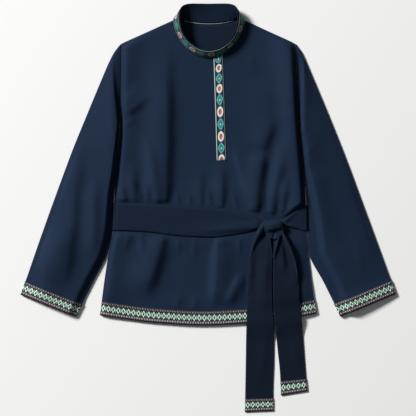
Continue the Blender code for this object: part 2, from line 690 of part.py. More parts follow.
def make_material(name, colour, roughness):
    """A cloth material."""
    material = bpy.data.materials.new(name)
    material.use_nodes = True
    shader = material.node_tree.nodes["Principled BSDF"]
    shader.inputs["Base Color"].default_value = colour
    shader.inputs["Roughness"].default_value = roughness
    shader.inputs["Metallic"].default_value = 0.0
    return material


def finish_object(name, mesh, colour, roughness=0.85):
    """An object of the garment, with its own material."""
    item = bpy.data.objects.new(name, mesh)
    garment.objects.link(item)
    mesh.materials.append(make_material(name + "_cloth", colour, roughness))
    mesh.shade_smooth()
    return item


def make_cloth(name, points, thickness, colour, outward=1.0, ring=False, slit=None):
    """A piece of cloth: a grid on its points, thickened along its normals (1) or against them (-1)."""
    rows, columns = points.shape[:2]
    grid = bmesh.new()
    bmesh.ops.create_grid(grid, x_segments=columns - 1, y_segments=rows - 1, size=1.0)
    for vert, place in zip(grid.verts, points.reshape(-1, 3)):
        vert.co = place
    if slit is not None:
        open_slit(grid, columns, *slit)
    if ring:
        bmesh.ops.remove_doubles(grid, verts=grid.verts, dist=0.000001)
    mesh = bpy.data.meshes.new(name)
    grid.to_mesh(mesh)
    grid.free()
    item = finish_object(name, mesh, colour)
    wall = item.modifiers.new("Thickness", "SOLIDIFY")
    wall.thickness = thickness
    wall.offset = outward
    wall.use_even_offset = True
    return item


def open_slit(grid, columns, slit_column, foot_row):
    """Cut a grid open along a column, from a row up to its edge."""
    grid.verts.ensure_lookup_table()
    line = {grid.verts[i] for i in range(slit_column, len(grid.verts), columns) if i // columns >= foot_row}
    left_of = {grid.verts[i] for i in range(slit_column - 1, len(grid.verts), columns)}
    seam = [edge for edge in grid.edges if edge.verts[0] in line and edge.verts[1] in line]
    split = bmesh.ops.split_edges(grid, edges=seam)["edges"]
    lips = {vert for edge in split for vert in edge.verts if vert.is_boundary}
    for vert in lips:
        around = {other for face in vert.link_faces for other in face.verts} - lips
        faces_left = bool(around & left_of)
        faces_right = bool(around - left_of)
        if faces_left != faces_right:
            vert.co.x += -SLIT / 2.0 if faces_left else SLIT / 2.0


def make_front():
    """The front panel, cut open from the neck down, with its hem ribbon and its placket's ribbon."""
    places, slit_column, rows = front_places()
    points = with_height(places, front_underside)
    make_cloth("front", points, CLOTH, NAVY, slit=(slit_column, rows["foot"]))
    lifted = moved_out(points, CLOTH + GAP)
    make_cloth("hem_ribbon_front", lifted[: rows["band"] + 1], RIBBON, BLACK_RIBBON)
    placket = lifted[rows["foot"] :, slit_column - PLACKET_COLUMNS : slit_column + 1].copy()
    placket[:, -1, 0] -= SLIT / 2.0
    placket[-1, :, 1] -= PLACKET_INSET
    make_cloth("placket_ribbon", placket, RIBBON, GREEN_RIBBON)
    return lifted[rows["belt"] : rows["chest"] + 1]


def make_back():
    """The back panel, and the ribbon on its hem, which lies beneath it."""
    places = back_places()
    make_cloth("back", with_height(places, back_underside), CLOTH, NAVY)
    ribbon = np.concatenate((places[:2], np.zeros(places[:2].shape[:2] + (1,))), axis=2)
    make_cloth("hem_ribbon_back", ribbon, RIBBON, BLACK_RIBBON)


def crown_share(distance, width, station, start):
    """How high a sleeve stands at a distance from its inner edge: steep up to a ridge, then gently down."""
    power = CROWN_POWER + CROWN_HEAD_POWER * (1.0 - ease(station / CROWN_HEAD_SHARE))
    ridge = start + CROWN_RUN
    rise = ease((distance - start) / CROWN_RUN)
    past = np.clip((distance - ridge) / (width - ridge), 0.0, 1.0)
    return rise * (1.0 - past**power)


def sleeve_ring(sections, folds, station, lift, proud):
    """A ring round a sleeve at a station from 0 at the armhole to 1 at the cuff, moved out by proud."""
    keys = np.linspace(0.0, 1.0, len(sections))
    fields = SleeveSection._fields
    row = {name: float(smooth_read(keys, column(sections, name), station)) for name in fields}
    outer = np.array([row["outer_x"], row["outer_y"]])
    inner = np.array([row["inner_x"], row["inner_y"]])
    width = float(np.linalg.norm(outer - inner))
    radius = row["radius"]
    edge = radius / width
    turn = np.linspace(0.0, math.pi, SLEEVE_EDGE_STEPS + 1)
    bottom = np.linspace(edge, 1.0 - edge, SLEEVE_BOTTOM_STEPS + 1)
    top = np.linspace(1.0 - edge, edge, SLEEVE_TOP_STEPS + 1)
    reach = (radius + proud) / width
    across = [bottom, 1.0 - edge + reach * np.sin(turn[1:-1]), top, edge - reach * np.sin(turn[1:-1])]
    heights = [np.full(bottom.shape, -proud), radius - (radius + proud) * np.cos(turn[1:-1])]
    arc = (top - 0.5) / (0.5 - edge)
    crown = row["crown"] * crown_share(top * width, width, station, row["crown_start"])
    at = inner[None, :] + (outer - inner)[None, :] * top[:, None]
    still = ease((1.0 - np.abs(arc)) / STILL_EDGE) * ease(station / STILL_HEAD)
    still = still * (1.0 - STILL_CUFF * ease((station - STILL_CUFF_START) / STILL_CUFF_RUN))
    crown = crown + still * fold_height(folds, at[:, 0], at[:, 1])
    heights += [2.0 * radius + proud + crown, radius + (radius + proud) * np.cos(turn[1:-1])]
    across = np.concatenate(across)
    heights = np.concatenate(heights) + lift
    ring = inner[None, :] + (outer - inner)[None, :] * across[:, None]
    ring = np.concatenate((ring, heights[:, None]), axis=1)
    return np.vstack((ring, ring[:1]))


def make_sleeve(name, sections, mirrored):
    """A sleeve: a flattened tube from armhole to cuff, and the ribbon round its cuff."""
    length = math.hypot(
        sections[-1].outer_x - sections[0].outer_x, sections[-1].outer_y - sections[0].outer_y
    )
    band = band_station(sections)
    plain = np.linspace(0.0, band, SLEEVE_STATIONS)
    run = LIFT_RUN / length
    stations = np.concatenate((plain[:-1], [band - run, band], [(1.0 + band) / 2.0, 1.0]))
    stations = np.unique(np.round(stations, 5))
    lifts = (RIBBON + GAP) * ease((stations - band + run) / run)
    rings = [sleeve_ring(sections, SLEEVE_FOLDS, s, lift, 0.0) for s, lift in zip(stations, lifts)]
    cuff_stations = [s for s in stations if s > band + 0.0001 or abs(s - band) < 0.0001]
    cuff = [sleeve_ring(sections, SLEEVE_FOLDS, s, RIBBON + GAP, GAP) for s in cuff_stations]
    rings = np.array(rings)
    cuff = np.array(cuff)
    if not mirrored:
        rings = rings[:, ::-1]
        cuff = cuff[:, ::-1]
    make_cloth("sleeve_" + name, rings, CLOTH, NAVY, outward=-1.0, ring=True)
    make_cloth("cuff_ribbon_" + name, cuff, RIBBON, BLACK_RIBBON, ring=True)


def band_station(sections):
    """The station of the upper edge of a cuff's ribbon."""
    last = sections[-1]
    before = sections[-2]
    step = 1.0 / (len(sections) - 1)
    run = math.hypot(last.outer_x - before.outer_x, last.outer_y - before.outer_y)
    return round(1.0 - step * BAND_WIDTH / run, 5)


def collar_grid():
    """Points of the stand collar's outer face: a row for each of its shares, round from end to end."""
    turn = slit_turn()
    half_slit = 0.5 * SLIT / COLLAR_LENGTH
    turns = even_turns(turn - 1.0 + half_slit, turn - half_slit, COLLAR_STATIONS)
    base = neck_ring(("base_out", "base_y", "base_z"), turns)
    top = neck_ring(("top_out", "top_y", "top_z"), turns)
    grid = np.array([base * (1.0 - share) + top * share for share in COLLAR_SHARES])
    bulge = np.sin(math.pi * np.array(COLLAR_SHARES)) * COLLAR_BULGE
    return grid + (moved_out(grid, 1.0) - grid) * bulge[:, None, None]


def make_collar():
    """The stand collar, its ribbon and the piping in the seam behind the neck."""
    grid = collar_grid()
    make_cloth("collar", grid, COLLAR, NAVY, outward=-1.0)
    make_cloth("collar_ribbon", moved_out(grid, GAP)[1:-1], RIBBON, GREEN_RIBBON)
    make_piping()


def make_piping():
    """The thin piping in the seam behind the neck: a line along the collar's base, on the back panel."""
    turns = even_turns(0.5 - PIPING_TURN, 0.5 + PIPING_TURN, PIPING_STEPS)
    line = neck_ring(("base_out", "base_y", "base_z"), turns)
    curve = bpy.data.curves.new("neck_piping", "CURVE")
    curve.dimensions = "3D"
    curve.bevel_depth = PIPING / 2.0
    curve.bevel_resolution = 1
    curve.use_fill_caps = True
    spline = curve.splines.new("POLY")
    spline.points.add(len(line) - 1)
    height = CLOTH + GAP + PIPING / 2.0
    for point, place in zip(spline.points, line):
        point.co = (place[0], place[1] - PIPING_INSET, height, 1.0)
    guide = bpy.data.objects.new("piping_guide", curve)
    garment.objects.link(guide)
    bpy.context.view_layer.update()
    mesh = bpy.data.meshes.new_from_object(guide.evaluated_get(bpy.context.evaluated_depsgraph_get()))
    bpy.data.objects.remove(guide)
    tube = bmesh.new()
    tube.from_mesh(mesh)
    bmesh.ops.remove_doubles(tube, verts=tube.verts, dist=0.00001)
    tube.to_mesh(mesh)
    tube.free()
    finish_object("neck_piping", mesh, GREY_PIPING)


def belt_arch(x):
    """How far the gathered sash arches up where it narrows towards the knot."""
    width = belt_top(x) - belt_bottom(x)
    narrow = np.clip((BELT_FULL_WIDTH - width) / (BELT_FULL_WIDTH - BELT_KNOT_WIDTH), 0.0, 1.0)
    return BELT_ARCH * narrow**1.5


def make_belt(front_stretch):
    """The sash round the waist: over the front, down past each side and under the back, as one ring."""
    front = front_stretch.copy()
    crown = np.sin(np.linspace(0.0, math.pi, len(front)))
    front[..., 2] += belt_arch(front[..., 0]) * crown[:, None]
    rows = []
    shares = np.linspace(0.0, 1.0, len(front))
    for share, line in zip(shares, front):
        left, right = line[0].copy(), line[-1].copy()
        left[0] -= 2.0 * GAP
        right[0] += 2.0 * GAP
        ends = []
        for corner in (right, left):
            high = corner.copy()
            low = corner.copy()
            middle = corner.copy()
            low[2] = BELT_BACK_LEVEL
            middle[2] = (BELT_BACK_LEVEL + high[2]) / 2.0
            ends.append((high, middle, low))
        across = np.linspace(right[0], left[0], 11)[1:-1]
        low_edge, high_edge = back_belt_edges(across)
        back_y = low_edge * (1.0 - share) + high_edge * share
        back = np.stack((across, back_y, np.full(across.shape, BELT_BACK_LEVEL)), axis=1)
        loop = [line[1:-1], np.array(ends[0]), back, np.array(ends[1])[::-1]]
        loop = np.vstack(loop)
        rows.append(np.vstack((loop, loop[:1])))
    make_cloth("belt", np.array(rows), SASH, NAVY, ring=True)


def resting_height(x, y):
    """The height of what lies under the sash's ends: the front, its hem ribbon, the belt or the surface."""
    left, right = side_edges(y)
    inside = (y > hem_y(x) - 0.002) & (x > left) & (x < right)
    cloth = front_underside(x, y) + CLOTH
    cloth = cloth + np.where(y < hem_y(x) + BAND_WIDTH + 0.003, GAP + RIBBON, 0.0)
    on_belt = (y < belt_top(x)) & (y > belt_bottom(x) - 0.002)
    cloth = cloth + np.where(on_belt, GAP + SASH + belt_arch(x), 0.0)
    return np.where(inside, cloth, -TAIL_CLEARANCE)


def laid_height(x, y):
    """The underside of cloth laid over all that: it bridges hollows and drops off an edge at a slope."""
    height = np.zeros(x.shape)
    for step_x in (-0.006, 0.0, 0.006):
        for step_y in np.arange(-0.008, TAIL_REACH, 0.004):
            drop = TAIL_DROP_SLOPE * max(step_y - 0.004, 0.0)
            height = np.maximum(height, resting_height(x + step_x, y + step_y) + TAIL_CLEARANCE - drop)
    return height


def tail_places(sections, end_share):
    """The places of a tail's points, from its root to its end, or of the last share of them."""
    keys = np.concatenate(([0.0], np.cumsum(np.abs(np.diff(column(sections, "right_y"))))))
    keys /= keys[-1]
    rows = np.linspace(0.0, 1.0, TAIL_ROWS + 1)
    rows = rows * (TAIL_ROOT_ROWS + (1.0 - TAIL_ROOT_ROWS) * rows)
    if end_share is not None:
        rows = np.array([1.0 - end_share, 1.0 - end_share / 2.0, 1.0])
    read = {name: smooth_read(keys, column(sections, name), rows) for name in TailSection._fields}
    left = np.stack((read["left_x"], read["left_y"]), axis=1)
    right = np.stack((read["right_x"], read["right_y"]), axis=1)
    share = np.linspace(0.0, 1.0, TAIL_STEPS + 1)
    return left[:, None, :] + (right - left)[:, None, :] * share[None, :, None]


def tail_height(x, y):
    """The underside of a tail: laid over what is below it, with the pleats that come out of the knot."""
    pleats = fold_height(TAIL_FOLDS, x, y)
    return laid_height(x, y) + pleats


def make_tail(name, sections):
    """A hanging end of the sash, and the ribbon across its end."""
    points = with_height(tail_places(sections, None), tail_height)
    make_cloth("tail_" + name, points[::-1], SASH, NAVY)
    length = abs(sections[-1].right_y - sections[0].right_y)
    ends = with_height(tail_places(sections, TAIL_BAND / length), tail_height)
    lifted = moved_out(ends[::-1], SASH + GAP)
    make_cloth("tail_ribbon_" + name, lifted, RIBBON, BLACK_RIBBON)


def knot_outline(angle):
    """The knot's reach from its middle at an angle: a wide wrap above and a narrow, rounded foot below."""
    across = math.cos(angle)
    up = math.sin(angle)
    if up >= 0.0:
        return KNOT_HALF_WIDTH * np.sign(across) * abs(across) ** 0.75, KNOT_WRAP_REACH * up**0.8
    return KNOT_HALF_WIDTH * np.sign(across) * abs(across) ** 1.25, -KNOT_FOOT_REACH * abs(up) ** 0.9


def make_knot():
    """The knot: a wrap of the sash over its own gathers, on the belt and the tails' roots."""
    ball = bmesh.new()
    bmesh.ops.create_uvsphere(ball, u_segments=24, v_segments=12, radius=1.0)
    places = []
    for vert in ball.verts:
        reach_x, reach_y = knot_outline(math.atan2(vert.co.y, vert.co.x))
        level = math.hypot(vert.co.x, vert.co.y)
        places.append((KNOT_X + reach_x * level, KNOT_Y + reach_y * level))
    places = np.array(places)
    under = knot_underside(places[:, 0], places[:, 1])
    in_wrap = ease((places[:, 1] - KNOT_Y + KNOT_WRAP_EDGE) / (1.5 * KNOT_WRAP_EDGE))
    wrap = KNOT_FOOT_SHARE + (1.0 - KNOT_FOOT_SHARE) * in_wrap
    for vert, place, low, share in zip(ball.verts, places, under, wrap):
        top = low + KNOT_RIM + KNOT_HEIGHT * share * max(vert.co.z, 0.0) ** 0.8
        vert.co = (place[0], place[1], top if vert.co.z > -0.001 else low)
    mesh = bpy.data.meshes.new("belt_knot")
    ball.to_mesh(mesh)
    ball.free()
    finish_object("belt_knot", mesh, NAVY)


def knot_underside(x, y):
    """The height of the knot's underside, over the belt and the tails' roots."""
    height = np.zeros(x.shape)
    for step_x in (-0.004, 0.0, 0.004):
        for step_y in (-0.004, 0.0, 0.004):
            height = np.maximum(height, tail_height(x + step_x, y + step_y) + SASH)
    return height + KNOT_CLEARANCE


def main():
    """Build every piece."""
    belt_stretch = make_front()
    make_back()
    make_sleeve("right", RIGHT_SLEEVE_SECTIONS, mirrored=False)
    make_sleeve("left", LEFT_SLEEVE_SECTIONS, mirrored=True)
    make_collar()
    make_belt(belt_stretch)
    make_tail("long", LONG_TAIL_SECTIONS)
    make_tail("short", SHORT_TAIL_SECTIONS)
    make_knot()


for old in list(bpy.data.objects):
    bpy.data.objects.remove(old)
garment = bpy.data.collections.new("sami_gakti_tunic")
bpy.context.scene.collection.children.link(garment)
main()
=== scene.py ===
"""Looks of a woven tunic that lies flat, front up, with its knotted sash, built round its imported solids.

Metres, +Z up. The hem lies towards -Y and the collar towards +Y. The wearer's left side is at +X.
Each piece of cloth is a surface worked out from the tables below, with its wall, its weave and its stitches.
"""

import logging
import math
from dataclasses import dataclass
from enum import Enum
from typing import Callable, NamedTuple, Optional, Sequence, Union

import bmesh
import bpy
import numpy as np
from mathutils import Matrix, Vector


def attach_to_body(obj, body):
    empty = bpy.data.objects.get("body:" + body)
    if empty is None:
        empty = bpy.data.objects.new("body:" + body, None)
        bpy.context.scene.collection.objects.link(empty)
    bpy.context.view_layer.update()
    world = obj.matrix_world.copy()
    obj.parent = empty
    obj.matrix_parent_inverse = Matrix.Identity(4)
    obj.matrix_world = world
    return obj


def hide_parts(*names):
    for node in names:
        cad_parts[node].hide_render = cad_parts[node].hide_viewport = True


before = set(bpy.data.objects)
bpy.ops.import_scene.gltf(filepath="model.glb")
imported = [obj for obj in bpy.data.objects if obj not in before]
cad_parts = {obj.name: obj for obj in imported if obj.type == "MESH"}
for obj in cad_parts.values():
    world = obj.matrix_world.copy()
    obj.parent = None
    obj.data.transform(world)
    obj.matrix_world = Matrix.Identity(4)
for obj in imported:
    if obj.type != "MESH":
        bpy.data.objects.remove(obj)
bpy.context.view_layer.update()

log = logging.getLogger("tunic")

# Walls of the pieces, as in the solids
CLOTH = 0.0012
RIBBON = 0.0010
SASH = 0.0018
COLLAR = 0.0020
PIPING = 0.0016
GAP = 0.0003
SLIT = 0.0006

# Points closer than these are joined where a ring closes and where a tube's caps meet it
RING_WELD = 0.000001
TUBE_WELD = 0.00001

# How many widths of its bell the smoothing reaches to
SMOOTHING_SPREAD = 1.6

Grid = np.ndarray
Shade = Union[tuple[float, float, float, float], bpy.types.NodeSocket]


class BodySide(NamedTuple):
    """Where the two side edges of the body lie at a height y."""

    y: float
    left: float
    right: float


class HemPoint(NamedTuple):
    """The lower edge of the body."""

    x: float
    y: float


class NeckSection(NamedTuple):
    """Half the collar's section: base and top edge, as a distance out from the neck's middle, y and z."""

    base_out: float
    base_y: float
    base_z: float
    top_out: float
    top_y: float
    top_z: float


class SleeveSection(NamedTuple):
    """Across a sleeve: its outer and inner edge, their rounding, the crown and where it starts."""

    outer_x: float
    outer_y: float
    inner_x: float
    inner_y: float
    radius: float
    crown: float
    crown_start: float


class BeltEdge(NamedTuple):
    """The upper and lower edge of the sash across the front."""

    x: float
    top: float
    bottom: float


class TailSection(NamedTuple):
    """A section across a hanging end of the sash."""

    left_x: float
    left_y: float
    right_x: float
    right_y: float


class Fold(NamedTuple):
    """A fold's crest, its height, its reach to each side and how it swells and dies away."""

    start_x: float
    start_y: float
    end_x: float
    end_y: float
    height: float
    left: float
    right: float
    swell: float
    fade: float


class Strand(NamedTuple):
    """A place on a strand of the knot: its middle, half its width and its rise above the cloth beneath."""

    x: float
    y: float
    half_width: float
    rise: float


class Ripple(NamedTuple):
    """A faint wave of the cloth: its share, its turns a metre along x and y, and how it sways."""

    share: float
    per_x: float
    per_y: float
    sway: float
    sway_per_x: float
    sway_per_y: float


class Turn(NamedTuple):
    """A motif of the neck ribbon: how far along the ribbon its middle lies."""

    motif: float
    along: float


def table(row: type, *rows: tuple) -> tuple:
    """A table from rows in millimetres, in metres. The shares in it, a fold's swell and fade, stay shares."""
    shares = ("swell", "fade")
    return tuple(
        row(*(n if name in shares else round(n / 1000.0, 7) for name, n in zip(row._fields, values)))
        for values in rows
    )


SHOULDER_TIP_X = 0.2089
SHOULDER_TIP_Y = 0.3950
UNDERARM_Y = 0.2150

BODY_SIDES = (
    BodySide(-0.2570, -0.2600, 0.2605),
    BodySide(-0.2010, -0.2530, 0.2515),
    BodySide(-0.1630, -0.2480, 0.2470),
    BodySide(-0.1120, -0.2395, 0.2410),
    BodySide(-0.0780, -0.2325, 0.2382),
    BodySide(-0.0560, -0.2275, 0.2360),
    BodySide(-0.0200, -0.2258, 0.2348),
    BodySide(0.0120, -0.2250, 0.2338),
    BodySide(0.0440, -0.2240, 0.2324),
    BodySide(0.0800, -0.2214, 0.2300),
    BodySide(0.1160, -0.2184, 0.2272),
    BodySide(0.1500, -0.2156, 0.2244),
    BodySide(UNDERARM_Y, -0.2112, 0.2196),
    BodySide(SHOULDER_TIP_Y, -SHOULDER_TIP_X, SHOULDER_TIP_X),
)

HEM = table(
    HemPoint,
    (-260, -257),
    (-200, -266.5),
    (-130, -275),
    (-13, -281.5),
    (130, -273.5),
    (200, -264),
    (260.5, -253),
)

# From the middle of the front to the middle of the back
NECK_SECTIONS = table(
    NeckSection,
    (0, 361, 5, 0, 377.5, 23.5),
    (20, 364, 5, 17, 380, 23.5),
    (40, 374, 5, 34, 387.5, 23.8),
    (58, 389.5, 5, 48.5, 399, 24.4),
    (73, 410.5, 5, 60.5, 415, 25.2),
    (83, 433, 4.8, 67, 434.5, 26),
    (86, 451.5, 4.2, 69.5, 453, 26.8),
    (79.5, 460, 3.6, 70, 466.5, 26.5),
    (69, 457.5, 3, 67, 478, 24),
    (59, 453.5, 2.6, 59.5, 485.5, 19.5),
    (46, 449.5, 2.4, 46, 489.5, 15),
    (24, 446, 2.4, 24, 490.3, 11.2),
    (0, 445, 2.4, 0, 490.3, 9.5),
)
SHOULDER_SECTION = 6

RIGHT_SLEEVE_SECTIONS = table(
    SleeveSection,
    (-210.3, 395, -211.6, 215, 1.8, 0, 3),
    (-226.5, 374, -212.6, 200, 1.8, 4, 3),
    (-237.5, 353, -213.9, 182, 1.8, 11, 3),
    (-263.5, 292.5, -217.4, 135, 1.8, 15, 3),
    (-293.5, 220, -222.4, 72, 1.8, 15.6, 3),
    (-325, 143, -227.8, 16, 1.8, 15.2, 3),
    (-346, 87, -228.9, -20, 1.8, 14.2, 3),
    (-368, 27, -230.6, -57, 1.9, 12.6, 3),
    (-392.5, -41, -241, -106, 2, 10.6, 3),
    (-421.5, -124, -279, -182, 2.1, 9, 3),
    (-450, -208, -318, -260, 2.2, 8.2, 3),
)

LEFT_SLEEVE_SECTIONS = table(
    SleeveSection,
    (210.3, 395, 220, 215, 1.8, 0, 3),
    (225.5, 373.5, 221.6, 200, 1.8, 4, 3),
    (234.5, 353, 222.9, 182, 1.8, 11, 3),
    (260, 293, 226.2, 135, 1.8, 15, 5),
    (290.5, 220, 231.1, 72, 1.8, 15.6, 9),
    (321.5, 143, 236.7, 16, 1.8, 15.2, 14),
    (343, 87, 237.9, -20, 1.8, 14.2, 18),
    (365, 27, 238.9, -57, 1.9, 12.6, 22),
    (390, -41, 241.6, -106, 2, 10.6, 23),
    (420, -123, 279, -181, 2.1, 9, 20),
    (450, -206, 318, -260, 2.2, 8.2, 12),
)

BELT_EDGES = table(
    BeltEdge,
    (-230, 11.5, -53.5),
    (-154, 9, -56),
    (-100, 6, -63),
    (-49, 2, -67.5),
    (8, -2.5, -69.5),
    (64, -7, -62.5),
    (92, -13.5, -57.5),
    (113.5, -22.5, -52),
    (134.5, -32, -45),
    (157, -30, -43),
    (179, -28, -41),
    (195, -18, -45.5),
    (211, -6, -50),
    (235, 7, -55),
)

LONG_TAIL_SECTIONS = table(
    TailSection,
    (133.5, -43, 154.5, -45),
    (120, -51, 155.2, -56),
    (111.5, -66, 155.6, -70),
    (106, -85, 155.6, -88),
    (101, -110, 154.5, -112),
    (96.5, -145, 153.2, -145),
    (94.5, -185, 153, -185),
    (92.8, -235, 154.2, -235),
    (91.5, -285, 158.5, -285),
    (90.2, -370, 157.8, -370),
    (89, -440, 155.6, -439),
    (88, -490, 156, -487),
)

SHORT_TAIL_SECTIONS = table(
    TailSection,
    (156, -45, 180, -43),
    (156.7, -56, 180.5, -54),
    (157.2, -70, 184, -68),
    (157.2, -88, 191.5, -86),
    (156.2, -112, 202, -110),
    (155, -145, 213.5, -140),
    (154.8, -185, 217.5, -185),
    (156.2, -235, 220, -235),
    (161.2, -285, 225.5, -282),
    (166.8, -340, 229.5, -337),
    (172.8, -400, 234, -395),
    (175, -450, 238.2, -440),
)

FRONT_FOLDS = table(
    Fold,
    (-102, 410, -104, 8, 11.8, 44, 18.5, 0.45, 0.04),
    (-202.3, 225.8, -130, 280, 6, 12, 26, 0.15, 0.65),
    (-151.2, 187.7, -120, 8, 7, 12, 17, 0.5, 0.03),
    (-146, 80, -143, 9, 4.4, 9, 9, 0.6, 0.03),
    (-186, 115, -173, 10, 6.4, 15, 12, 0.6, 0.03),
    (-20, 110, -17, 2, 3.2, 15, 10, 0.7, 0.04),
    (30, 128, 33, 0, 6.6, 18, 12, 0.7, 0.04),
    (56, 175, 108, -4, 3.8, 9, 23, 0.4, 0.05),
    (140, 330, 135, 150, 4.2, 50, 25, 0.4, 0.4),
    (154, 230, 126.2, 130, 8, 30, 15, 0.6, 0.25),
    (129, 145, 113, -9, 11.2, 28, 15, 0.25, 0.04),
    (183, 170, 149, -15, 10, 14, 18, 0.5, 0.04),
    (190, 85, 176, -10, 5.8, 9, 10, 0.5, 0.04),
    (-111, -69, -158, -220, 12.5, 44, 21, 0.02, 0.35),
    (23, -70, 18, -240, 10.2, 13, 36, 0.02, 0.25),
    (-164, -60, -156, -110, 4, 11, 10, 0.02, 0.6),
    (-70, -205, -74, -242, 1.8, 9, 8, 0.6, 0.2),
    (-30, -205, -33, -245, 1.6, 8, 8, 0.6, 0.2),
    (45, -235, 84, -150, 6, 16, 11, 0.3, 0.4),
)

# Small creases that only the looks have
FRONT_CREASES = table(
    Fold,
    (-206, 56, -199, 14, 2.4, 5, 4, 0.5, 0.05),
    (-166, 52, -160, 12, 1.4, 5, 4, 0.6, 0.05),
    (-76, 48, -72, 8, 1.3, 6, 5, 0.6, 0.05),
    (-46, 42, -44, 6, 1.2, 6, 5, 0.6, 0.05),
    (2, 56, 6, 4, 1.4, 6, 5, 0.6, 0.05),
    (56, 48, 70, -2, 1.4, 5, 5, 0.6, 0.05),
    (136, 76, 132, -18, 1.8, 5, 5, 0.6, 0.05),
    (-204, 250, -156, 300, 1.4, 10, 8, 0.2, 0.6),
    (-203, 198, -164, 228, 1.2, 8, 6, 0.2, 0.6),
    (204, 256, 152, 290, 1.3, 8, 10, 0.2, 0.6),
    (203, 208, 164, 236, 1.2, 8, 6, 0.2, 0.6),
    (98, 370, 118, 316, 1.1, 10, 8, 0.3, 0.6),
    (-190, -64, -206, -114, 1.4, 6, 5, 0.05, 0.6),
    (-76, -78, -72, -124, 1.3, 7, 6, 0.05, 0.7),
    (-36, -80, -30, -130, 1.4, 7, 6, 0.05, 0.7),
    (72, -74, 76, -128, 1.4, 7, 6, 0.05, 0.7),
)

SLEEVE_FOLDS = table(
    Fold,
    (-307, 175, -347, -195, 7, 34, 18, 0.35, 0.15),
    (-348, -10, -398, -220, 13, 30, 37, 0.45, 0.05),
    (-270, 90, -280, -125, 5, 18, 15, 0.35, 0.25),
    (233, 200, 248, 85, 2.6, 8, 25, 0.4, 0.3),
    (247, 100, 286, -95, 3.6, 8, 26, 0.2, 0.4),
    (330, 150, 390, -160, 2.6, 42, 30, 0.4, 0.3),
)

SLEEVE_CREASES = table(
    Fold,
    (-216, 174, -250, 210, 1, 9, 7, 0.2, 0.6),
    (-224, 124, -264, 164, 0.9, 9, 7, 0.2, 0.6),
    (-396, -110, -386, -176, 1, 9, 8, 0.4, 0.3),
    (216, 174, 248, 208, 1, 7, 9, 0.2, 0.6),
    (225, 120, 264, 160, 0.9, 7, 9, 0.2, 0.6),
    (356, -70, 370, -172, 1.1, 10, 9, 0.4, 0.3),
)

TAIL_FOLDS = table(
    Fold,
    (127, -44, 107, -82, 3.6, 9, 6, 0.05, 0.45),
    (147, -50, 144, -120, 2.4, 6, 7, 0.05, 0.7),
    (167.5, -56, 159, -118, 2.6, 5, 5, 0.05, 0.55),
    (177, -52, 206, -130, 3.6, 8, 7, 0.05, 0.6),
)

# The strands that come out of the knot, only in the looks: each a line of places with its half width
# and how far it stands above the cloth beneath
STRANDS = (
    table(
        Strand,
        (139.5, -33, 6, 6.2),
        (129, -47, 7.4, 5.8),
        (119, -64, 6.6, 5),
        (110, -85, 4.6, 3.6),
        (102.5, -112, 2.4, 1.8),
        (98.5, -134, 1, 0.4),
    ),
    table(
        Strand,
        (144, -56, 2.6, 4.4),
        (147.5, -76, 2.4, 4),
        (151, -96, 1.8, 2.8),
        (154.5, -118, 1, 0.8),
    ),
    table(
        Strand,
        (170.5, -60, 3.4, 5.4),
        (166, -80, 3.4, 5.2),
        (161, -101, 2.4, 3.4),
        (157, -123, 1, 1),
    ),
    table(
        Strand,
        (176.5, -56, 4.6, 5.6),
        (185, -74, 5.4, 5.6),
        (196, -96, 5.6, 5),
        (207, -126, 4.4, 3.8),
        (212.5, -156, 2.8, 2),
        (214, -180, 1, 0.4),
    ),
)

# Small creases of the sash's ends, and of the sash itself, that only the looks have
TAIL_CREASES = table(
    Fold,
    (119, -58, 108, -100, 2.6, 7, 4.5, 0.1, 0.5),
    (155.5, -62, 154.5, -102, -2.4, 7.5, 8.5, 0.1, 0.6),
    (166.5, -65, 158.5, -125, 2.4, 3.8, 11, 0.2, 0.5),
    (188, -80, 209, -145, 2, 6, 5, 0.2, 0.4),
    (104, -95, 99, -210, 3.6, 7, 8.5, 0.1, 0.55),
    (174.5, -82, 182, -156, 3.4, 8, 6, 0.1, 0.35),
    (209, -130, 212, -176, 3, 11, 5.5, 0.3, 0.15),
    (140, -105, 133, -240, 2.2, 16, 9, 0.3, 0.6),
    (98, -150, 117, -160, 1.8, 4, 4, 0.2, 0.6),
    (97, -184, 116, -200, 1.9, 4.5, 4, 0.2, 0.6),
    (96, -218, 118, -232, 1.5, 4.5, 4.5, 0.2, 0.6),
    (215, -180, 182, -184, 2, 6, 4, 0.1, 0.7),
    (135, -290, 128, -420, 1.3, 14, 12, 0.4, 0.4),
    (205, -290, 215, -390, 1.3, 12, 14, 0.4, 0.4),
)

SASH_CREASES = table(
    Fold,
    (-190, -10, -20, -26, 0.7, 12, 12, 0.4, 0.4),
    (-60, -59, 128, -44.5, 4.2, 6, 13, 0.6, 0.08),
    (30, -6, 130, -33.5, 2, 5, 4, 0.5, 0.05),
    (179, -31, 218, 1, 3, 5.5, 6, 0.05, 0.2),
    (185, -36, 208, -29, -1, 3, 3, 0.2, 0.5),
    (179, -39, 218, -48, 2.4, 5, 5, 0.05, 0.3),
)

# Where the motifs of the neck ribbon lie along the placket, down from the neck, and round the collar
PLACKET_TURNS = (
    Turn(0.0, 0.0060),
    Turn(1.0, 0.0265),
    Turn(2.0, 0.0515),
    Turn(3.0, 0.0760),
    Turn(4.0, 0.1020),
    Turn(5.0, 0.1320),
    Turn(6.0, 0.1610),
    Turn(7.0, 0.1920),
    Turn(8.0, 0.2190),
    Turn(9.0, 0.2460),
)
COLLAR_PITCH = 0.0250

# One repeat of the edge ribbon's pattern
EDGE_REPEAT = 0.0122

# The crossing waves of cloth that has been worn
RIPPLES = (
    Ripple(0.22, 61.0, 23.0, 1.3, 0.0, 31.0),
    Ripple(0.16, -43.0, 97.0, 1.7, 47.0, 0.0),
    Ripple(0.12, 151.0, 89.0, 0.0, 0.0, 0.0),
)


def column(table: Sequence[NamedTuple], name: str) -> Grid:
    """One named column of a table."""
    return np.array([getattr(row, name) for row in table])


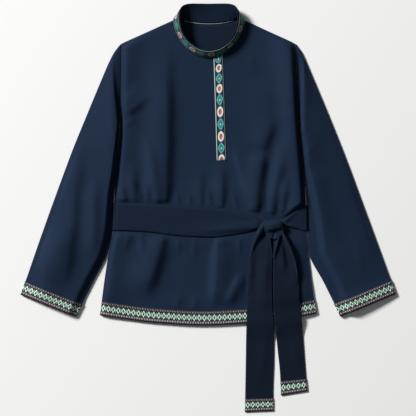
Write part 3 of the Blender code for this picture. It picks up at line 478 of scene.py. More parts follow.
def smooth_read(keys: Grid, values: Grid, at: Grid) -> Grid:
    """Read between the rows of a table, on a curve that turns smoothly and never swings past a row.

    Args:
        keys: The rows' keys, rising.
        values: The rows' values.
        at: The keys to read at.

    Returns:
        The values there.
    """
    steps = np.diff(keys)
    rises = np.diff(values) / steps
    slopes = np.zeros(len(keys))
    same_way = rises[:-1] * rises[1:] > 0.0
    before = rises[:-1][same_way]
    after = rises[1:][same_way]
    slopes[1:-1][same_way] = 2.0 * before * after / (before + after)
    slopes[0] = rises[0]
    slopes[-1] = rises[-1]
    at = np.clip(at, keys[0], keys[-1])
    i = np.clip(np.searchsorted(keys, at) - 1, 0, len(steps) - 1)
    t = (at - keys[i]) / steps[i]
    held = (1.0 + 2.0 * t) * (1.0 - t) ** 2 * values[i] + t * t * (3.0 - 2.0 * t) * values[i + 1]
    turned = t * (1.0 - t) ** 2 * slopes[i] - t * t * (1.0 - t) * slopes[i + 1]
    return held + steps[i] * turned


def ease(amount: Grid) -> Grid:
    """0 below 0, 1 above 1, and a smooth step between."""
    t = np.clip(amount, 0.0, 1.0)
    return t * t * (3.0 - 2.0 * t)


def bump(distance: Grid, width: float) -> Grid:
    """A soft hump, 1 in its middle."""
    return np.exp(-((distance / width) ** 2))


def even(count: int) -> list[float]:
    """Equal shares up to 1."""
    return [(i + 1) / count for i in range(count)]


def with_height(places: Grid, height: Callable[[Grid, Grid], Grid]) -> Grid:
    """Places with their heights."""
    z = height(places[..., 0], places[..., 1])
    return np.concatenate((places, z[..., None]), axis=2)


def moved_out(points: Grid, distance: float) -> Grid:
    """A surface's points moved out along its normals."""
    along_row = np.gradient(points, axis=1)
    along_column = np.gradient(points, axis=0)
    normals = np.cross(along_row, along_column)
    normals /= np.linalg.norm(normals, axis=2, keepdims=True)
    return points + distance * normals


def smoothed_down(points: Grid, reach: int) -> Grid:
    """A surface whose heights are evened out along its columns, over some rows to each side."""
    weights = bump(np.arange(-reach, reach + 1), reach / SMOOTHING_SPREAD)
    weights /= weights.sum()
    padded = np.pad(points[..., 2], ((reach, reach), (0, 0)), mode="edge")
    evened = sum(weight * padded[i : i + len(points)] for i, weight in enumerate(weights))
    result = points.copy()
    result[..., 2] = evened
    return result


def run_lengths(line: Grid) -> Grid:
    """How far each point of a line lies along it."""
    return np.concatenate(([0.0], np.cumsum(np.linalg.norm(np.diff(line, axis=0), axis=1))))


def weave_map(points: Grid) -> Grid:
    """The cloth's own coordinates in metres: across from the middle column and up from the first row."""
    across = np.cumsum(np.linalg.norm(np.diff(points, axis=1, prepend=points[:, :1]), axis=2), axis=1)
    along = np.cumsum(np.linalg.norm(np.diff(points, axis=0, prepend=points[:1]), axis=2), axis=0)
    across -= across[:, across.shape[1] // 2][:, None]
    return np.stack((across, along), axis=2)


def pattern_map(along: Grid, across: Grid) -> Grid:
    """A ribbon's map: the repeats along each of its rows, and the share across it."""
    return np.stack(np.meshgrid(along, across), axis=2)


def edge_ribbon_map(points: Grid) -> Grid:
    """The edge ribbon's map on a piece whose rows run along it."""
    along = run_lengths(points[len(points) // 2]) / EDGE_REPEAT
    return pattern_map(along, np.linspace(0.0, 1.0, len(points)))


@dataclass(frozen=True)
class Lie:
    """How the garment lies: its outline, what passes under what, and how far the cloth rises."""

    neck_x: float = 0.0015
    neck_y: float = 0.4520
    neck_half_width: float = 0.0860
    neck_depth: float = 0.0910
    band_width: float = 0.0340
    front_slack: float = 0.0010
    front_edge_run: float = 0.0120
    roll_left: float = 0.0050
    skirt_rise: float = 0.0072
    skirt_run: float = 0.0460
    skirt_start_x: float = 0.0950
    skirt_start_run: float = 0.0550
    skirt_belt_run: float = 0.0600
    roll_end_run: float = 0.0080
    roll_right: float = 0.0128
    roll_place: float = 0.0155
    roll_outer_width: float = 0.0120
    roll_inner_width: float = 0.0320
    armhole_lift: float = 0.0017
    neck_edge_lift: float = 0.0007
    neck_run: float = 0.0240
    shoulder_run: float = 0.0160
    band_hold: float = 0.30
    band_run: float = 0.0300
    lift_run: float = 0.0120
    early_run: float = 0.0180
    early_slope: float = 0.0450
    belt_left_x: float = -0.2255
    belt_right_x: float = 0.2345
    belt_margin: float = 0.0020
    belt_press_run: float = 0.0140
    belt_arch: float = 0.0032
    belt_full_width: float = 0.0650
    belt_knot_width: float = 0.0120
    tail_press_run: float = 0.0140
    tail_clearance: float = 0.0007
    tail_drop_slope: float = 0.22
    tail_reach: float = 0.0440
    laid_side: float = 0.0060
    laid_back: float = 0.0080
    laid_step: float = 0.0040
    hem_overlap: float = 0.0020
    band_overlap: float = 0.0030
    ripple_height: float = 0.00035
    fold_end: float = 0.02
    fold_wander: float = 0.0014
    wander_slow: float = 23.0
    wander_fast: float = 57.0
    wander_across: float = 40.0
    wander_fast_share: float = 0.5
    gather_share: float = 0.50
    gather_run: float = 0.0600
    hold_start: float = 0.75
    armhole_fullness: float = 1.6
    side_lift_start: float = 0.5
    side_lift_run: float = 2.0
    belt_arch_power: float = 1.5

    def side_edges(self, y: Grid) -> tuple[Grid, Grid]:
        """The body's left and right edge at a height y."""
        heights = column(BODY_SIDES, "y")
        left = smooth_read(heights, column(BODY_SIDES, "left"), y)
        right = smooth_read(heights, column(BODY_SIDES, "right"), y)
        return left, right

    def hem_y(self, x: Grid) -> Grid:
        """The hem's height at x."""
        return smooth_read(column(HEM, "x"), column(HEM, "y"), x)

    def band_top(self, x: Grid) -> Grid:
        """The upper edge of the hem's ribbon."""
        return self.hem_y(x) + self.band_width

    def belt_top(self, x: Grid) -> Grid:
        """The sash's upper edge across the front."""
        return smooth_read(column(BELT_EDGES, "x"), column(BELT_EDGES, "top"), x)

    def belt_bottom(self, x: Grid) -> Grid:
        """The sash's lower edge across the front."""
        return smooth_read(column(BELT_EDGES, "x"), column(BELT_EDGES, "bottom"), x)

    def back_belt_edges(self, x: Grid) -> tuple[Grid, Grid]:
        """The lower and upper edge of the sash behind the body, straight from side to side."""
        left, right = self.belt_left_x, self.belt_right_x
        share = np.clip((x - left) / (right - left), 0.0, 1.0)
        low = self.belt_bottom(left) * (1.0 - share) + self.belt_bottom(right) * share
        high = self.belt_top(left) * (1.0 - share) + self.belt_top(right) * share
        return low, high

    def shoulder_y(self, x: Grid) -> Grid:
        """The shoulder line's height at x."""
        run = SHOULDER_TIP_X - self.neck_half_width
        side = np.clip((np.abs(x) - self.neck_half_width) / run, 0.0, 1.0)
        return NECK_SECTIONS[SHOULDER_SECTION].base_y * (1.0 - side) + SHOULDER_TIP_Y * side

    def fold_height(self, folds: Sequence[Fold], x: Grid, y: Grid, gather: Grid = 1.0) -> Grid:
        """How far the folds of a table lift the cloth. Gathered by a share, they are narrower and lower."""
        slow = np.sin(self.wander_slow * y)
        fast = np.sin(self.wander_fast * y + self.wander_across * x)
        x = x + self.fold_wander * (slow + self.wander_fast_share * fast)
        end = self.fold_end
        total = np.zeros(np.broadcast(x, y).shape)
        for fold in folds:
            run_x = fold.end_x - fold.start_x
            run_y = fold.end_y - fold.start_y
            length = math.hypot(run_x, run_y)
            along = ((x - fold.start_x) * run_x + (y - fold.start_y) * run_y) / length**2
            t = np.clip(along, 0.0, 1.0)
            off_x = x - fold.start_x - t * run_x
            off_y = y - fold.start_y - t * run_y
            to_left = off_x * run_y - off_y * run_x > 0.0
            reach = np.where(to_left, fold.left, fold.right) * gather
            strength = ease((t + end) / (fold.swell + end))
            strength = strength * ease((1.0 + end - t) / (fold.fade + end))
            total = total + fold.height * gather * strength * bump(np.hypot(off_x, off_y), reach)
        return total

    def ripple(self, x: Grid, y: Grid) -> Grid:
        """Faint unevenness of cloth that has been worn: a few crossing waves, never below 0."""
        wave = 0.5
        for row in RIPPLES:
            sway = row.sway * np.sin(row.sway_per_x * x + row.sway_per_y * y)
            wave = wave + row.share * np.sin(row.per_x * x + row.per_y * y + sway)
        return self.ripple_height * np.clip(wave, 0.0, 1.0)

    def tail_press(self, x: Grid, y: Grid) -> Grid:
        """0 under the sash's hanging ends, where the front lies still, and 1 away from them."""
        free = np.ones(np.broadcast(x, y).shape)
        for sections in (LONG_TAIL_SECTIONS, SHORT_TAIL_SECTIONS):
            heights = column(sections, "left_y")[::-1]
            left = smooth_read(heights, column(sections, "left_x")[::-1], y)
            right = smooth_read(heights, column(sections, "right_x")[::-1], y)
            away = np.maximum(np.maximum(left - x, x - right), 0.0)
            above = np.maximum(y - sections[0].left_y, 0.0)
            free = np.minimum(free, ease(np.hypot(away, above) / self.tail_press_run))
        return free

    def from_belt(self, x: Grid, y: Grid) -> Grid:
        """How far a place on the front is above or below the sash."""
        return np.maximum(np.maximum(y - self.belt_top(x), self.belt_bottom(x) - y), 0.0)

    def back_underside(self, x: Grid, y: Grid) -> Grid:
        """The back panel lies on the surface, and rises over the hem's ribbon and the sash beneath it."""
        over_band = 1.0 - ease((y - self.band_top(x) - self.belt_margin / 2.0) / self.lift_run)
        belt_low, belt_high = self.back_belt_edges(x)
        away = np.maximum(np.maximum(y - belt_high, belt_low - y) - self.belt_margin, 0.0)
        over_belt = 1.0 - ease(away / self.lift_run)
        return np.maximum((RIBBON + GAP) * over_band, (SASH + GAP) * over_belt)

    def front_rest(self, x: Grid, y: Grid) -> Grid:
        """The level that the front would lie at with no fold, just over the back."""
        over_band = 1.0 - ease((y - self.band_top(x) - self.early_run) / self.early_slope)
        belt_low, belt_high = self.back_belt_edges(x)
        away = np.maximum(np.maximum(y - belt_high, belt_low - y) - self.early_run, 0.0)
        over_belt = 1.0 - ease(away / self.early_slope)
        return CLOTH + GAP + np.maximum((RIBBON + GAP) * over_band, (SASH + GAP) * over_belt)

    def side_roll(self, distance: Grid) -> Grid:
        """The roll along a side edge at a distance from it: steep outside, gentle inside."""
        width = np.where(distance > self.roll_place, self.roll_inner_width, self.roll_outer_width)
        return bump(distance - self.roll_place, width)

    def front_underside(self, x: Grid, y: Grid) -> Grid:
        """The inner face of the front: rolled at its sides, folded between them and still under the sash."""
        left, right = self.side_edges(y)
        from_left = x - left
        from_right = right - x
        from_side = np.maximum(np.minimum(from_left, from_right), 0.0)
        neck_share = np.hypot(
            (x - self.neck_x) / self.neck_half_width, (y - self.neck_y) / self.neck_depth
        )
        from_neck = np.maximum(neck_share - 1.0, 0.0) * self.neck_half_width
        from_shoulder = np.maximum(self.shoulder_y(x) - y, 0.0)
        edges = ease(from_side / self.front_edge_run) * ease(from_shoulder / self.shoulder_run)
        neck = ease(from_neck / self.neck_run)
        free = ease((y - self.hem_y(x) - self.hold_start * self.band_width) / self.band_run)
        hold = self.band_hold + (1.0 - self.band_hold) * free
        away = self.from_belt(x, y)
        press = ease(away / self.belt_press_run) * self.tail_press(x, y)
        gather = 1.0 - self.gather_share * (1.0 - ease(away / self.gather_run))
        below_belt = self.belt_bottom(x) - y
        right_roll = self.roll_right * self.side_roll(from_right)
        right_roll = right_roll * (1.0 - ease(below_belt / self.roll_end_run))
        roll = self.roll_left * self.side_roll(from_left) + right_roll
        slope = ease(from_right / self.skirt_run) * ease((x - self.skirt_start_x) / self.skirt_start_run)
        folds = self.fold_height(FRONT_FOLDS, x, y, gather) + self.fold_height(FRONT_CREASES, x, y)
        lift = (roll + folds + self.ripple(x, y)) * hold * press * neck
        lift = lift + self.skirt_rise * slope * ease(below_belt / self.skirt_belt_run) * hold
        middle = (UNDERARM_Y + SHOULDER_TIP_Y) / 2.0
        in_armhole = 1.0 - np.abs(y - middle) / (SHOULDER_TIP_Y - middle)
        armhole = self.armhole_lift * ease(self.armhole_fullness * in_armhole)
        past_edge = from_side - self.side_lift_start * self.front_edge_run
        at_side = 1.0 - ease(past_edge / (self.side_lift_run * self.front_edge_run))
        at_neck = self.neck_edge_lift * (1.0 - neck)
        raised = edges * (self.front_slack + lift) + armhole * at_side + at_neck * edges
        return self.front_rest(x, y) + raised

    def arch_of_belt(self, x: Grid) -> Grid:
        """How far the gathered sash arches up where it narrows towards the knot."""
        width = self.belt_top(x) - self.belt_bottom(x)
        span = self.belt_full_width - self.belt_knot_width
        narrow = np.clip((self.belt_full_width - width) / span, 0.0, 1.0)
        return self.belt_arch * narrow**self.belt_arch_power

    def resting_height(self, x: Grid, y: Grid) -> Grid:
        """The height of what lies under the sash's ends: front, hem ribbon, belt or surface."""
        left, right = self.side_edges(y)
        inside = (y > self.hem_y(x) - self.hem_overlap) & (x > left) & (x < right)
        cloth = self.front_underside(x, y) + CLOTH
        cloth = cloth + np.where(y < self.band_top(x) + self.band_overlap, GAP + RIBBON, 0.0)
        on_belt = (y < self.belt_top(x)) & (y > self.belt_bottom(x) - self.hem_overlap)
        cloth = cloth + np.where(on_belt, GAP + SASH + self.arch_of_belt(x), 0.0)
        return np.where(inside, cloth, -self.tail_clearance)

    def laid_height(self, x: Grid, y: Grid) -> Grid:
        """The underside of cloth laid over all that: it bridges hollows and drops off an edge at a slope."""
        height = np.zeros(x.shape)
        for step_x in (-self.laid_side, 0.0, self.laid_side):
            for step_y in np.arange(-self.laid_back, self.tail_reach, self.laid_step):
                drop = self.tail_drop_slope * max(step_y - self.laid_step, 0.0)
                rest = self.resting_height(x + step_x, y + step_y)
                height = np.maximum(height, rest + self.tail_clearance - drop)
        return height

    def tail_height(self, x: Grid, y: Grid) -> Grid:
        """The underside of a tail: laid over what is below it, with the pleats that come out of the knot."""
        pleats = self.fold_height(TAIL_FOLDS, x, y) + self.fold_height(TAIL_CREASES, x, y)
        return self.laid_height(x, y) + pleats


@dataclass(frozen=True)
class NeckRing:
    """The neck opening: the collar's base and top edge, round from the middle of the front (0) to 1."""

    lie: Lie
    slit_x: float = 0.0350
    slit_reach: float = 0.20
    slit_samples: int = 400
    ring_samples: int = 800
    collar_length: float = 0.4600

    def ring(self, names: tuple[str, str, str], turns: Grid) -> Grid:
        """Points of the collar's sections at some turns, by the right side (0.5 is behind)."""
        half = np.array([[getattr(row, name) for name in names] for row in NECK_SECTIONS])
        mirrored = half[-2:0:-1] * np.array([-1.0, 1.0, 1.0])
        ring = np.vstack((half, mirrored))
        count = len(ring)
        place = (turns % 1.0) * count
        i = np.floor(place).astype(int) % count
        t = (place - np.floor(place))[:, None]
        before, start = ring[(i - 1) % count], ring[i]
        end, after = ring[(i + 1) % count], ring[(i + 2) % count]
        curve = start * (2.0 - 5.0 * t**2 + 3.0 * t**3) + end * (t + 4.0 * t**2 - 3.0 * t**3)
        curve = (curve + before * (2.0 * t**2 - t - t**3) + after * (t**3 - t**2)) / 2.0
        return curve + np.array([self.lie.neck_x, 0.0, 0.0])

    def base(self, turns: Grid) -> Grid:
        """The collar's base."""
        return self.ring(("base_out", "base_y", "base_z"), turns)

    def top(self, turns: Grid) -> Grid:
        """The collar's top edge."""
        return self.ring(("top_out", "top_y", "top_z"), turns)

    def even_turns(self, first: float, last: float, steps: int) -> Grid:
        """Turns round the neck, evenly spaced along the collar's base."""
        fine = np.linspace(first, last, self.ring_samples)
        lengths = run_lengths(self.base(fine))
        return np.interp(np.linspace(0.0, lengths[-1], steps + 1), lengths, fine)

    def slit_turn(self) -> float:
        """The turn at which the neck opening's slit meets the collar's base."""
        fine = np.linspace(0.0, self.slit_reach, self.slit_samples)
        return float(np.interp(self.slit_x, self.base(fine)[:, 0], fine))

    def side_turn(self) -> float:
        """The turn of the shoulder line."""
        return SHOULDER_SECTION / (2.0 * (len(NECK_SECTIONS) - 1))


def linear(code: str) -> tuple[float, float, float, float]:
    """Turn an sRGB hex colour into linear values.

    Args:
        code: Six hex digits, such as "1D283A".

    Returns:
        Red, green, blue and an alpha of 1.
    """
    values = []
    for i in (0, 2, 4):
        share = int(code[i : i + 2], 16) / 255.0
        values.append(share / 12.92 if share <= 0.04045 else ((share + 0.055) / 1.055) ** 2.4)
    return values[0], values[1], values[2], 1.0


def add_node(tree: bpy.types.NodeTree, kind: str, inputs: dict, **settings) -> bpy.types.Node:
    """Add a node to a tree, with its settings, values and links.

    Args:
        tree: The node tree.
        kind: The node's type, such as "ShaderNodeMath".
        inputs: A value or an output socket for each named or numbered input.
        **settings: The node's own options.

    Returns:
        The new node.
    """
    node = tree.nodes.new(kind)
    for name, value in settings.items():
        setattr(node, name, value)
    for key, value in inputs.items():
        if isinstance(value, bpy.types.NodeSocket):
            tree.links.new(value, node.inputs[key])
        else:
            node.inputs[key].default_value = value
    return node


class Outline(Enum):
    """The outline of a woven motif, as the powers of its superellipse along and across the ribbon."""

    DIAMOND = (1.0, 1.0)
    OVAL = (2.0, 2.0)
    LEAF = (1.25, 1.7)
    BLOCK = (10.0, 10.0)


class Motif(NamedTuple):
    """One woven shape: its outline, middle, half sizes and colour. Along and half_along are in repeats."""

    outline: Outline
    along: float
    across: float
    half_along: float
    half_across: float
    colour: str


class Weave(NamedTuple):
    """Thread spacings in millimetres, along the cloth and across it, and how deep the threads stand."""

    along_mm: float
    across_mm: float
    depth_mm: float


def new_material(name: str) -> tuple[bpy.types.Material, bpy.types.NodeTree, bpy.types.Node]:
    """Make a material and return it with its node tree and its shader."""
    material = bpy.data.materials.new(name)
    material.use_nodes = True
    tree = material.node_tree
    return material, tree, tree.nodes["Principled BSDF"]


def thread_relief(tree: bpy.types.NodeTree, weave: Weave) -> bpy.types.NodeSocket:
    """Make the height of crossing threads from the piece's own cloth coordinates.

    Args:
        tree: The material's node tree.
        weave: The thread spacings.

    Returns:
        The height, from 0 to about 1.
    """
    place = add_node(tree, "ShaderNodeUVMap", {}, uv_map="Weave").outputs["UV"]
    spread = (1000.0 / weave.across_mm, 1000.0 / weave.along_mm, 1.0)
    scaled = add_node(tree, "ShaderNodeVectorMath", {0: place, 1: spread}, operation="MULTIPLY")
    parts = add_node(tree, "ShaderNodeSeparateXYZ", {0: scaled.outputs[0]})
    warp = add_node(tree, "ShaderNodeMath", {0: parts.outputs[0], 1: math.pi}, operation="MULTIPLY")
    weft = add_node(tree, "ShaderNodeMath", {0: parts.outputs[1], 1: math.pi}, operation="MULTIPLY")
    warp = add_node(tree, "ShaderNodeMath", {0: warp.outputs[0]}, operation="SINE")
    weft = add_node(tree, "ShaderNodeMath", {0: weft.outputs[0]}, operation="SINE")
    crossed = add_node(tree, "ShaderNodeMath", {0: warp.outputs[0], 1: weft.outputs[0]}, operation="MULTIPLY")
    return add_node(tree, "ShaderNodeMath", {0: crossed.outputs[0]}, operation="ABSOLUTE").outputs[0]


@dataclass(frozen=True)
class NavyCloth:
    """Fine wool-blend plain weave, dyed dark navy: matt, with a soft blue bloom in grazing light."""

    name: str
    shade: str = "162235"
    worn: str = "1D2C42"
    bloom: str = "6F8FC0"
    bloom_weight: float = 0.03
    bloom_roughness: float = 0.45
    roughness: float = 0.82
    gloss: float = 0.06
    cloud_scale: float = 9.0
    fleck_scale: float = 700.0
    relief: float = 0.7
    # Threads of 0.45 mm are drawn at 1.1 mm, so that they show close to
    weave: Weave = Weave(1.1, 1.1, 0.10)

    def make(self) -> bpy.types.Material:
        """Build the material."""
        material, tree, shader = new_material(self.name)
        place = add_node(tree, "ShaderNodeTexCoord", {}).outputs["Object"]
        noises = (
            {"Vector": place, "Scale": self.cloud_scale, "Detail": 3.0},
            {"Vector": place, "Scale": self.fleck_scale, "Detail": 2.0},
        )
        clouds, flecks = (
            add_node(tree, "ShaderNodeTexNoise", noise).outputs["Fac"] for noise in noises
        )
        mottle = add_node(tree, "ShaderNodeMath", {0: clouds, 1: flecks}, operation="MULTIPLY")
        tint = add_node(
            tree,
            "ShaderNodeMix",
            {0: mottle.outputs[0], 6: linear(self.shade), 7: linear(self.worn)},
            data_type="RGBA",
        )
        tree.links.new(tint.outputs[2], shader.inputs["Base Color"])
        relief = thread_relief(tree, self.weave)
        slubs = add_node(tree, "ShaderNodeMath", {0: relief, 1: flecks}, operation="MULTIPLY")
        depth = self.weave.depth_mm / 1000.0
        threads = add_node(
            tree,
            "ShaderNodeBump",
            {"Height": slubs.outputs[0], "Distance": depth, "Strength": self.relief},
        )
        tree.links.new(threads.outputs[0], shader.inputs["Normal"])
        shader.inputs["Roughness"].default_value = self.roughness
        shader.inputs["Specular IOR Level"].default_value = self.gloss
        shader.inputs["Sheen Weight"].default_value = self.bloom_weight
        shader.inputs["Sheen Roughness"].default_value = self.bloom_roughness
        shader.inputs["Sheen Tint"].default_value = linear(self.bloom)
        return material


@dataclass(frozen=True)
class WovenRibbon:
    """Jacquard ribbon of lustrous thread: motifs on a dark ground, stepped where each thread turns over."""

    name: str
    ground: str
    motifs: tuple[Motif, ...]
    width_mm: float
    repeat_mm: float
    roughness: float = 0.62
    gloss: float = 0.35
    sheen: float = 0.10
    relief: float = 0.6
    step_mm: float = 0.6
    weave: Weave = Weave(0.6, 0.8, 0.12)

    def paint(
        self, tree: bpy.types.NodeTree, place: dict, motif: Motif, under: Shade
    ) -> bpy.types.NodeSocket:
        """Weave one motif over the colours under it.

        Args:
            tree: The material's node tree.
            place: The sockets of the place along the repeat (0 to 1) and across the ribbon (0 to 1).
            motif: The motif.
            under: The colour under it, a socket or a value.

        Returns:
            The socket of the new colour.
        """
        powers = []
        sizes = {"along": motif.half_along, "across": motif.half_across}
        middles = {"along": motif.along, "across": motif.across}
        for way, power in zip(("along", "across"), motif.outline.value):
            off = add_node(tree, "ShaderNodeMath", {0: place[way], 1: middles[way]}, operation="SUBTRACT")
            if way == "along":
                off = add_node(tree, "ShaderNodeMath", {0: off.outputs[0], 1: 0.5}, operation="ADD")
                off = add_node(tree, "ShaderNodeMath", {0: off.outputs[0]}, operation="FRACT")
                off = add_node(tree, "ShaderNodeMath", {0: off.outputs[0], 1: 0.5}, operation="SUBTRACT")
            share = add_node(tree, "ShaderNodeMath", {0: off.outputs[0], 1: sizes[way]}, operation="DIVIDE")
            share = add_node(tree, "ShaderNodeMath", {0: share.outputs[0]}, operation="ABSOLUTE")
            share = add_node(tree, "ShaderNodeMath", {0: share.outputs[0], 1: power}, operation="POWER")
            powers.append(share.outputs[0])
        reach = add_node(tree, "ShaderNodeMath", {0: powers[0], 1: powers[1]}, operation="ADD")
        inside = add_node(tree, "ShaderNodeMath", {0: reach.outputs[0], 1: 1.0}, operation="LESS_THAN")
        over = add_node(
            tree, "ShaderNodeMix", {0: inside.outputs[0], 6: under, 7: linear(motif.colour)}, data_type="RGBA"
        )
        return over.outputs[2]

    def make(self) -> bpy.types.Material:
        """Build the material. The map's U counts repeats along the ribbon and its V is the share across."""
        material, tree, shader = new_material(self.name)
        pattern = add_node(tree, "ShaderNodeUVMap", {}, uv_map="Pattern").outputs["UV"]
        steps = (self.step_mm / self.repeat_mm, self.step_mm / self.width_mm, 1.0)
        stepped = add_node(tree, "ShaderNodeVectorMath", {0: pattern, 1: steps}, operation="SNAP")
        parts = add_node(tree, "ShaderNodeSeparateXYZ", {0: stepped.outputs[0]})
        place = {"along": parts.outputs[0], "across": parts.outputs[1]}
        colour = linear(self.ground)
        for motif in self.motifs:
            colour = self.paint(tree, place, motif, colour)
        tree.links.new(colour, shader.inputs["Base Color"])
        relief = thread_relief(tree, self.weave)
        depth = self.weave.depth_mm / 1000.0
        threads = add_node(
            tree, "ShaderNodeBump", {"Height": relief, "Distance": depth, "Strength": self.relief}
        )
        tree.links.new(threads.outputs[0], shader.inputs["Normal"])
        shader.inputs["Roughness"].default_value = self.roughness
        shader.inputs["Specular IOR Level"].default_value = self.gloss
        shader.inputs["Sheen Weight"].default_value = self.sheen
        return material


@dataclass(frozen=True)
class PlainThread:
    """Twisted polyester thread or cord: one colour with a little gloss and a fine twist."""

    name: str
    shade: str
    roughness: float = 0.55
    twist_mm: float = 0.9
    depth_mm: float = 0.1
    relief: float = 0.5

    def make(self) -> bpy.types.Material:
        """Build the material."""
        material, tree, shader = new_material(self.name)
        place = add_node(tree, "ShaderNodeTexCoord", {}).outputs["Object"]
        ply = add_node(
            tree,
            "ShaderNodeTexWave",
            {"Vector": place, "Scale": 1000.0 / self.twist_mm / math.tau},
            bands_direction="DIAGONAL",
        )
        depth = self.depth_mm / 1000.0
        twist = add_node(
            tree, "ShaderNodeBump", {"Height": ply.outputs["Fac"], "Distance": depth, "Strength": self.relief}
        )
        tree.links.new(twist.outputs[0], shader.inputs["Normal"])
        shader.inputs["Base Color"].default_value = linear(self.shade)
        shader.inputs["Roughness"].default_value = self.roughness
        return material


# The edge ribbon: a row of ticks, a row of open diamonds and a row of small points, then a plain selvedge
EDGE_MOTIFS = (
    Motif(Outline.BLOCK, 0.50, 0.885, 9.00, 0.095, "2A242A"),
    Motif(Outline.DIAMOND, 0.25, 0.885, 0.150, 0.060, "9A8A92"),
    Motif(Outline.DIAMOND, 0.75, 0.885, 0.150, 0.060, "877984"),
    Motif(Outline.BLOCK, 0.50, 0.185, 9.00, 0.100, "332D33"),
    Motif(Outline.DIAMOND, 0.25, 0.185, 0.200, 0.088, "A0959B"),
    Motif(Outline.DIAMOND, 0.75, 0.185, 0.200, 0.088, "94878F"),
    Motif(Outline.BLOCK, 0.50, 0.535, 9.00, 0.245, "0A0F0E"),
    Motif(Outline.DIAMOND, 0.00, 0.535, 0.115, 0.200, "A9CDB9"),
    Motif(Outline.DIAMOND, 0.00, 0.535, 0.050, 0.110, "0A0F0E"),
    Motif(Outline.DIAMOND, 0.50, 0.535, 0.400, 0.240, "CDEEDC"),
    Motif(Outline.DIAMOND, 0.50, 0.535, 0.235, 0.145, "0A0F0E"),
    Motif(Outline.DIAMOND, 0.50, 0.535, 0.115, 0.070, "2F7A5C"),
)

# The same ribbon round the collar, its colours painted darker as painted shade where it turns from the light:
# long leaves, small ovals and thin edges
COLLAR_MOTIFS = (
    Motif(Outline.DIAMOND, 0.25, 0.50, 0.060, 0.240, "1B2D63"),
    Motif(Outline.DIAMOND, 0.75, 0.50, 0.060, 0.240, "1B2D63"),
    Motif(Outline.BLOCK, 0.50, 0.055, 9.00, 0.040, "5F726C"),
    Motif(Outline.BLOCK, 0.50, 0.945, 9.00, 0.040, "5F726C"),
    Motif(Outline.OVAL, 0.50, 0.50, 0.190, 0.270, "97908A"),
    Motif(Outline.OVAL, 0.50, 0.50, 0.100, 0.150, "6B4B46"),
    Motif(Outline.LEAF, 0.00, 0.50, 0.235, 0.310, "1F6F6C"),
    Motif(Outline.LEAF, 0.00, 0.50, 0.190, 0.230, "12594F"),
    Motif(Outline.OVAL, 0.00, 0.50, 0.100, 0.130, "1C6A48"),
)

# The neck ribbon: cream ovals and teal leaves in turn between pale edge lines
NECK_MOTIFS = (
    Motif(Outline.DIAMOND, 0.25, 0.50, 0.060, 0.240, "1C3068"),
    Motif(Outline.DIAMOND, 0.75, 0.50, 0.060, 0.240, "1C3068"),
    Motif(Outline.BLOCK, 0.50, 0.050, 9.00, 0.038, "93A89B"),
    Motif(Outline.BLOCK, 0.50, 0.950, 9.00, 0.038, "93A89B"),
    Motif(Outline.OVAL, 0.50, 0.50, 0.215, 0.310, "D8CEC6"),
    Motif(Outline.OVAL, 0.50, 0.50, 0.115, 0.150, "5A3A34"),
    Motif(Outline.OVAL, 0.515, 0.53, 0.075, 0.090, "B9685C"),
    Motif(Outline.LEAF, 0.00, 0.50, 0.225, 0.320, "5FAEC2"),
    Motif(Outline.LEAF, 0.00, 0.50, 0.190, 0.245, "127C78"),
    Motif(Outline.OVAL, 0.00, 0.50, 0.110, 0.150, "1D8F63"),
    Motif(Outline.OVAL, 0.00, 0.50, 0.075, 0.095, "0F4A4A"),
    Motif(Outline.OVAL, 0.015, 0.50, 0.035, 0.055, "D9E2D8"),
)


class Finishes:
    """Every finish of the garment, made once."""

    def __init__(self) -> None:
        """Build the materials."""
        self.cloth = NavyCloth("wool_blend_plain_weave_navy").make()
        self.sash = NavyCloth("wool_blend_plain_weave_sash", shade="121C2C", worn="18263A").make()
        # A deeper navy painted on the collar and on the cloth inside the neck: painted shade for the shadow
        # that the collar casts there
        self.neck_painted_shade = NavyCloth("wool_blend_plain_weave_painted_shade", shade="101A29", worn="152133").make()
        # The ends are made a deeper navy than the rest of the sash
        self.sash_end = NavyCloth("wool_blend_plain_weave_sash_end", shade="0E1622", worn="142032").make()
        ribbons = (
            WovenRibbon("jacquard_ribbon_diamonds", "0B0C0E", EDGE_MOTIFS, 34.0, 12.2),
            WovenRibbon("jacquard_ribbon_ovals", "0D1424", NECK_MOTIFS, 25.0, 52.0),
            # The collar's ribbon is the neck ribbon with painted shade in its colours
            WovenRibbon("jacquard_ribbon_ovals_collar", "0A101C", COLLAR_MOTIFS, 25.0, 52.0),
        )
        self.edge_ribbon, self.neck_ribbon, self.collar_ribbon = (ribbon.make() for ribbon in ribbons)
        self.piping = PlainThread("polyester_piping_grey", "8D9AA0").make()
        self.thread = PlainThread("polyester_sewing_thread_navy", "141B29").make()
        self.ribbon_thread = PlainThread("polyester_sewing_thread_black", "0B0C0E").make()


def lay_mesh(name: str, points: Grid, maps: dict[str, Grid]) -> bpy.types.Mesh:
    """Lay a grid on its points.

    Args:
        name: The mesh's name.
        points: Rows and columns of places.
        maps: A grid of two coordinates for each named map.

    Returns:
        The open mesh with its UV maps.
    """
    rows, columns = points.shape[:2]
    grid = bmesh.new()
    bmesh.ops.create_grid(grid, x_segments=columns - 1, y_segments=rows - 1, size=1.0)
    mesh = bpy.data.meshes.new(name)
    grid.to_mesh(mesh)
    grid.free()
    mesh.vertices.foreach_set("co", points.reshape(-1).astype(np.float32))
    corners = np.empty(len(mesh.loops), dtype=np.int32)
    mesh.loops.foreach_get("vertex_index", corners)
    for title, grid_map in maps.items():
        layer = mesh.uv_layers.new(name=title)
        layer.data.foreach_set("uv", grid_map.reshape(-1, 2)[corners].reshape(-1).astype(np.float32))
    mesh.update()
    return mesh


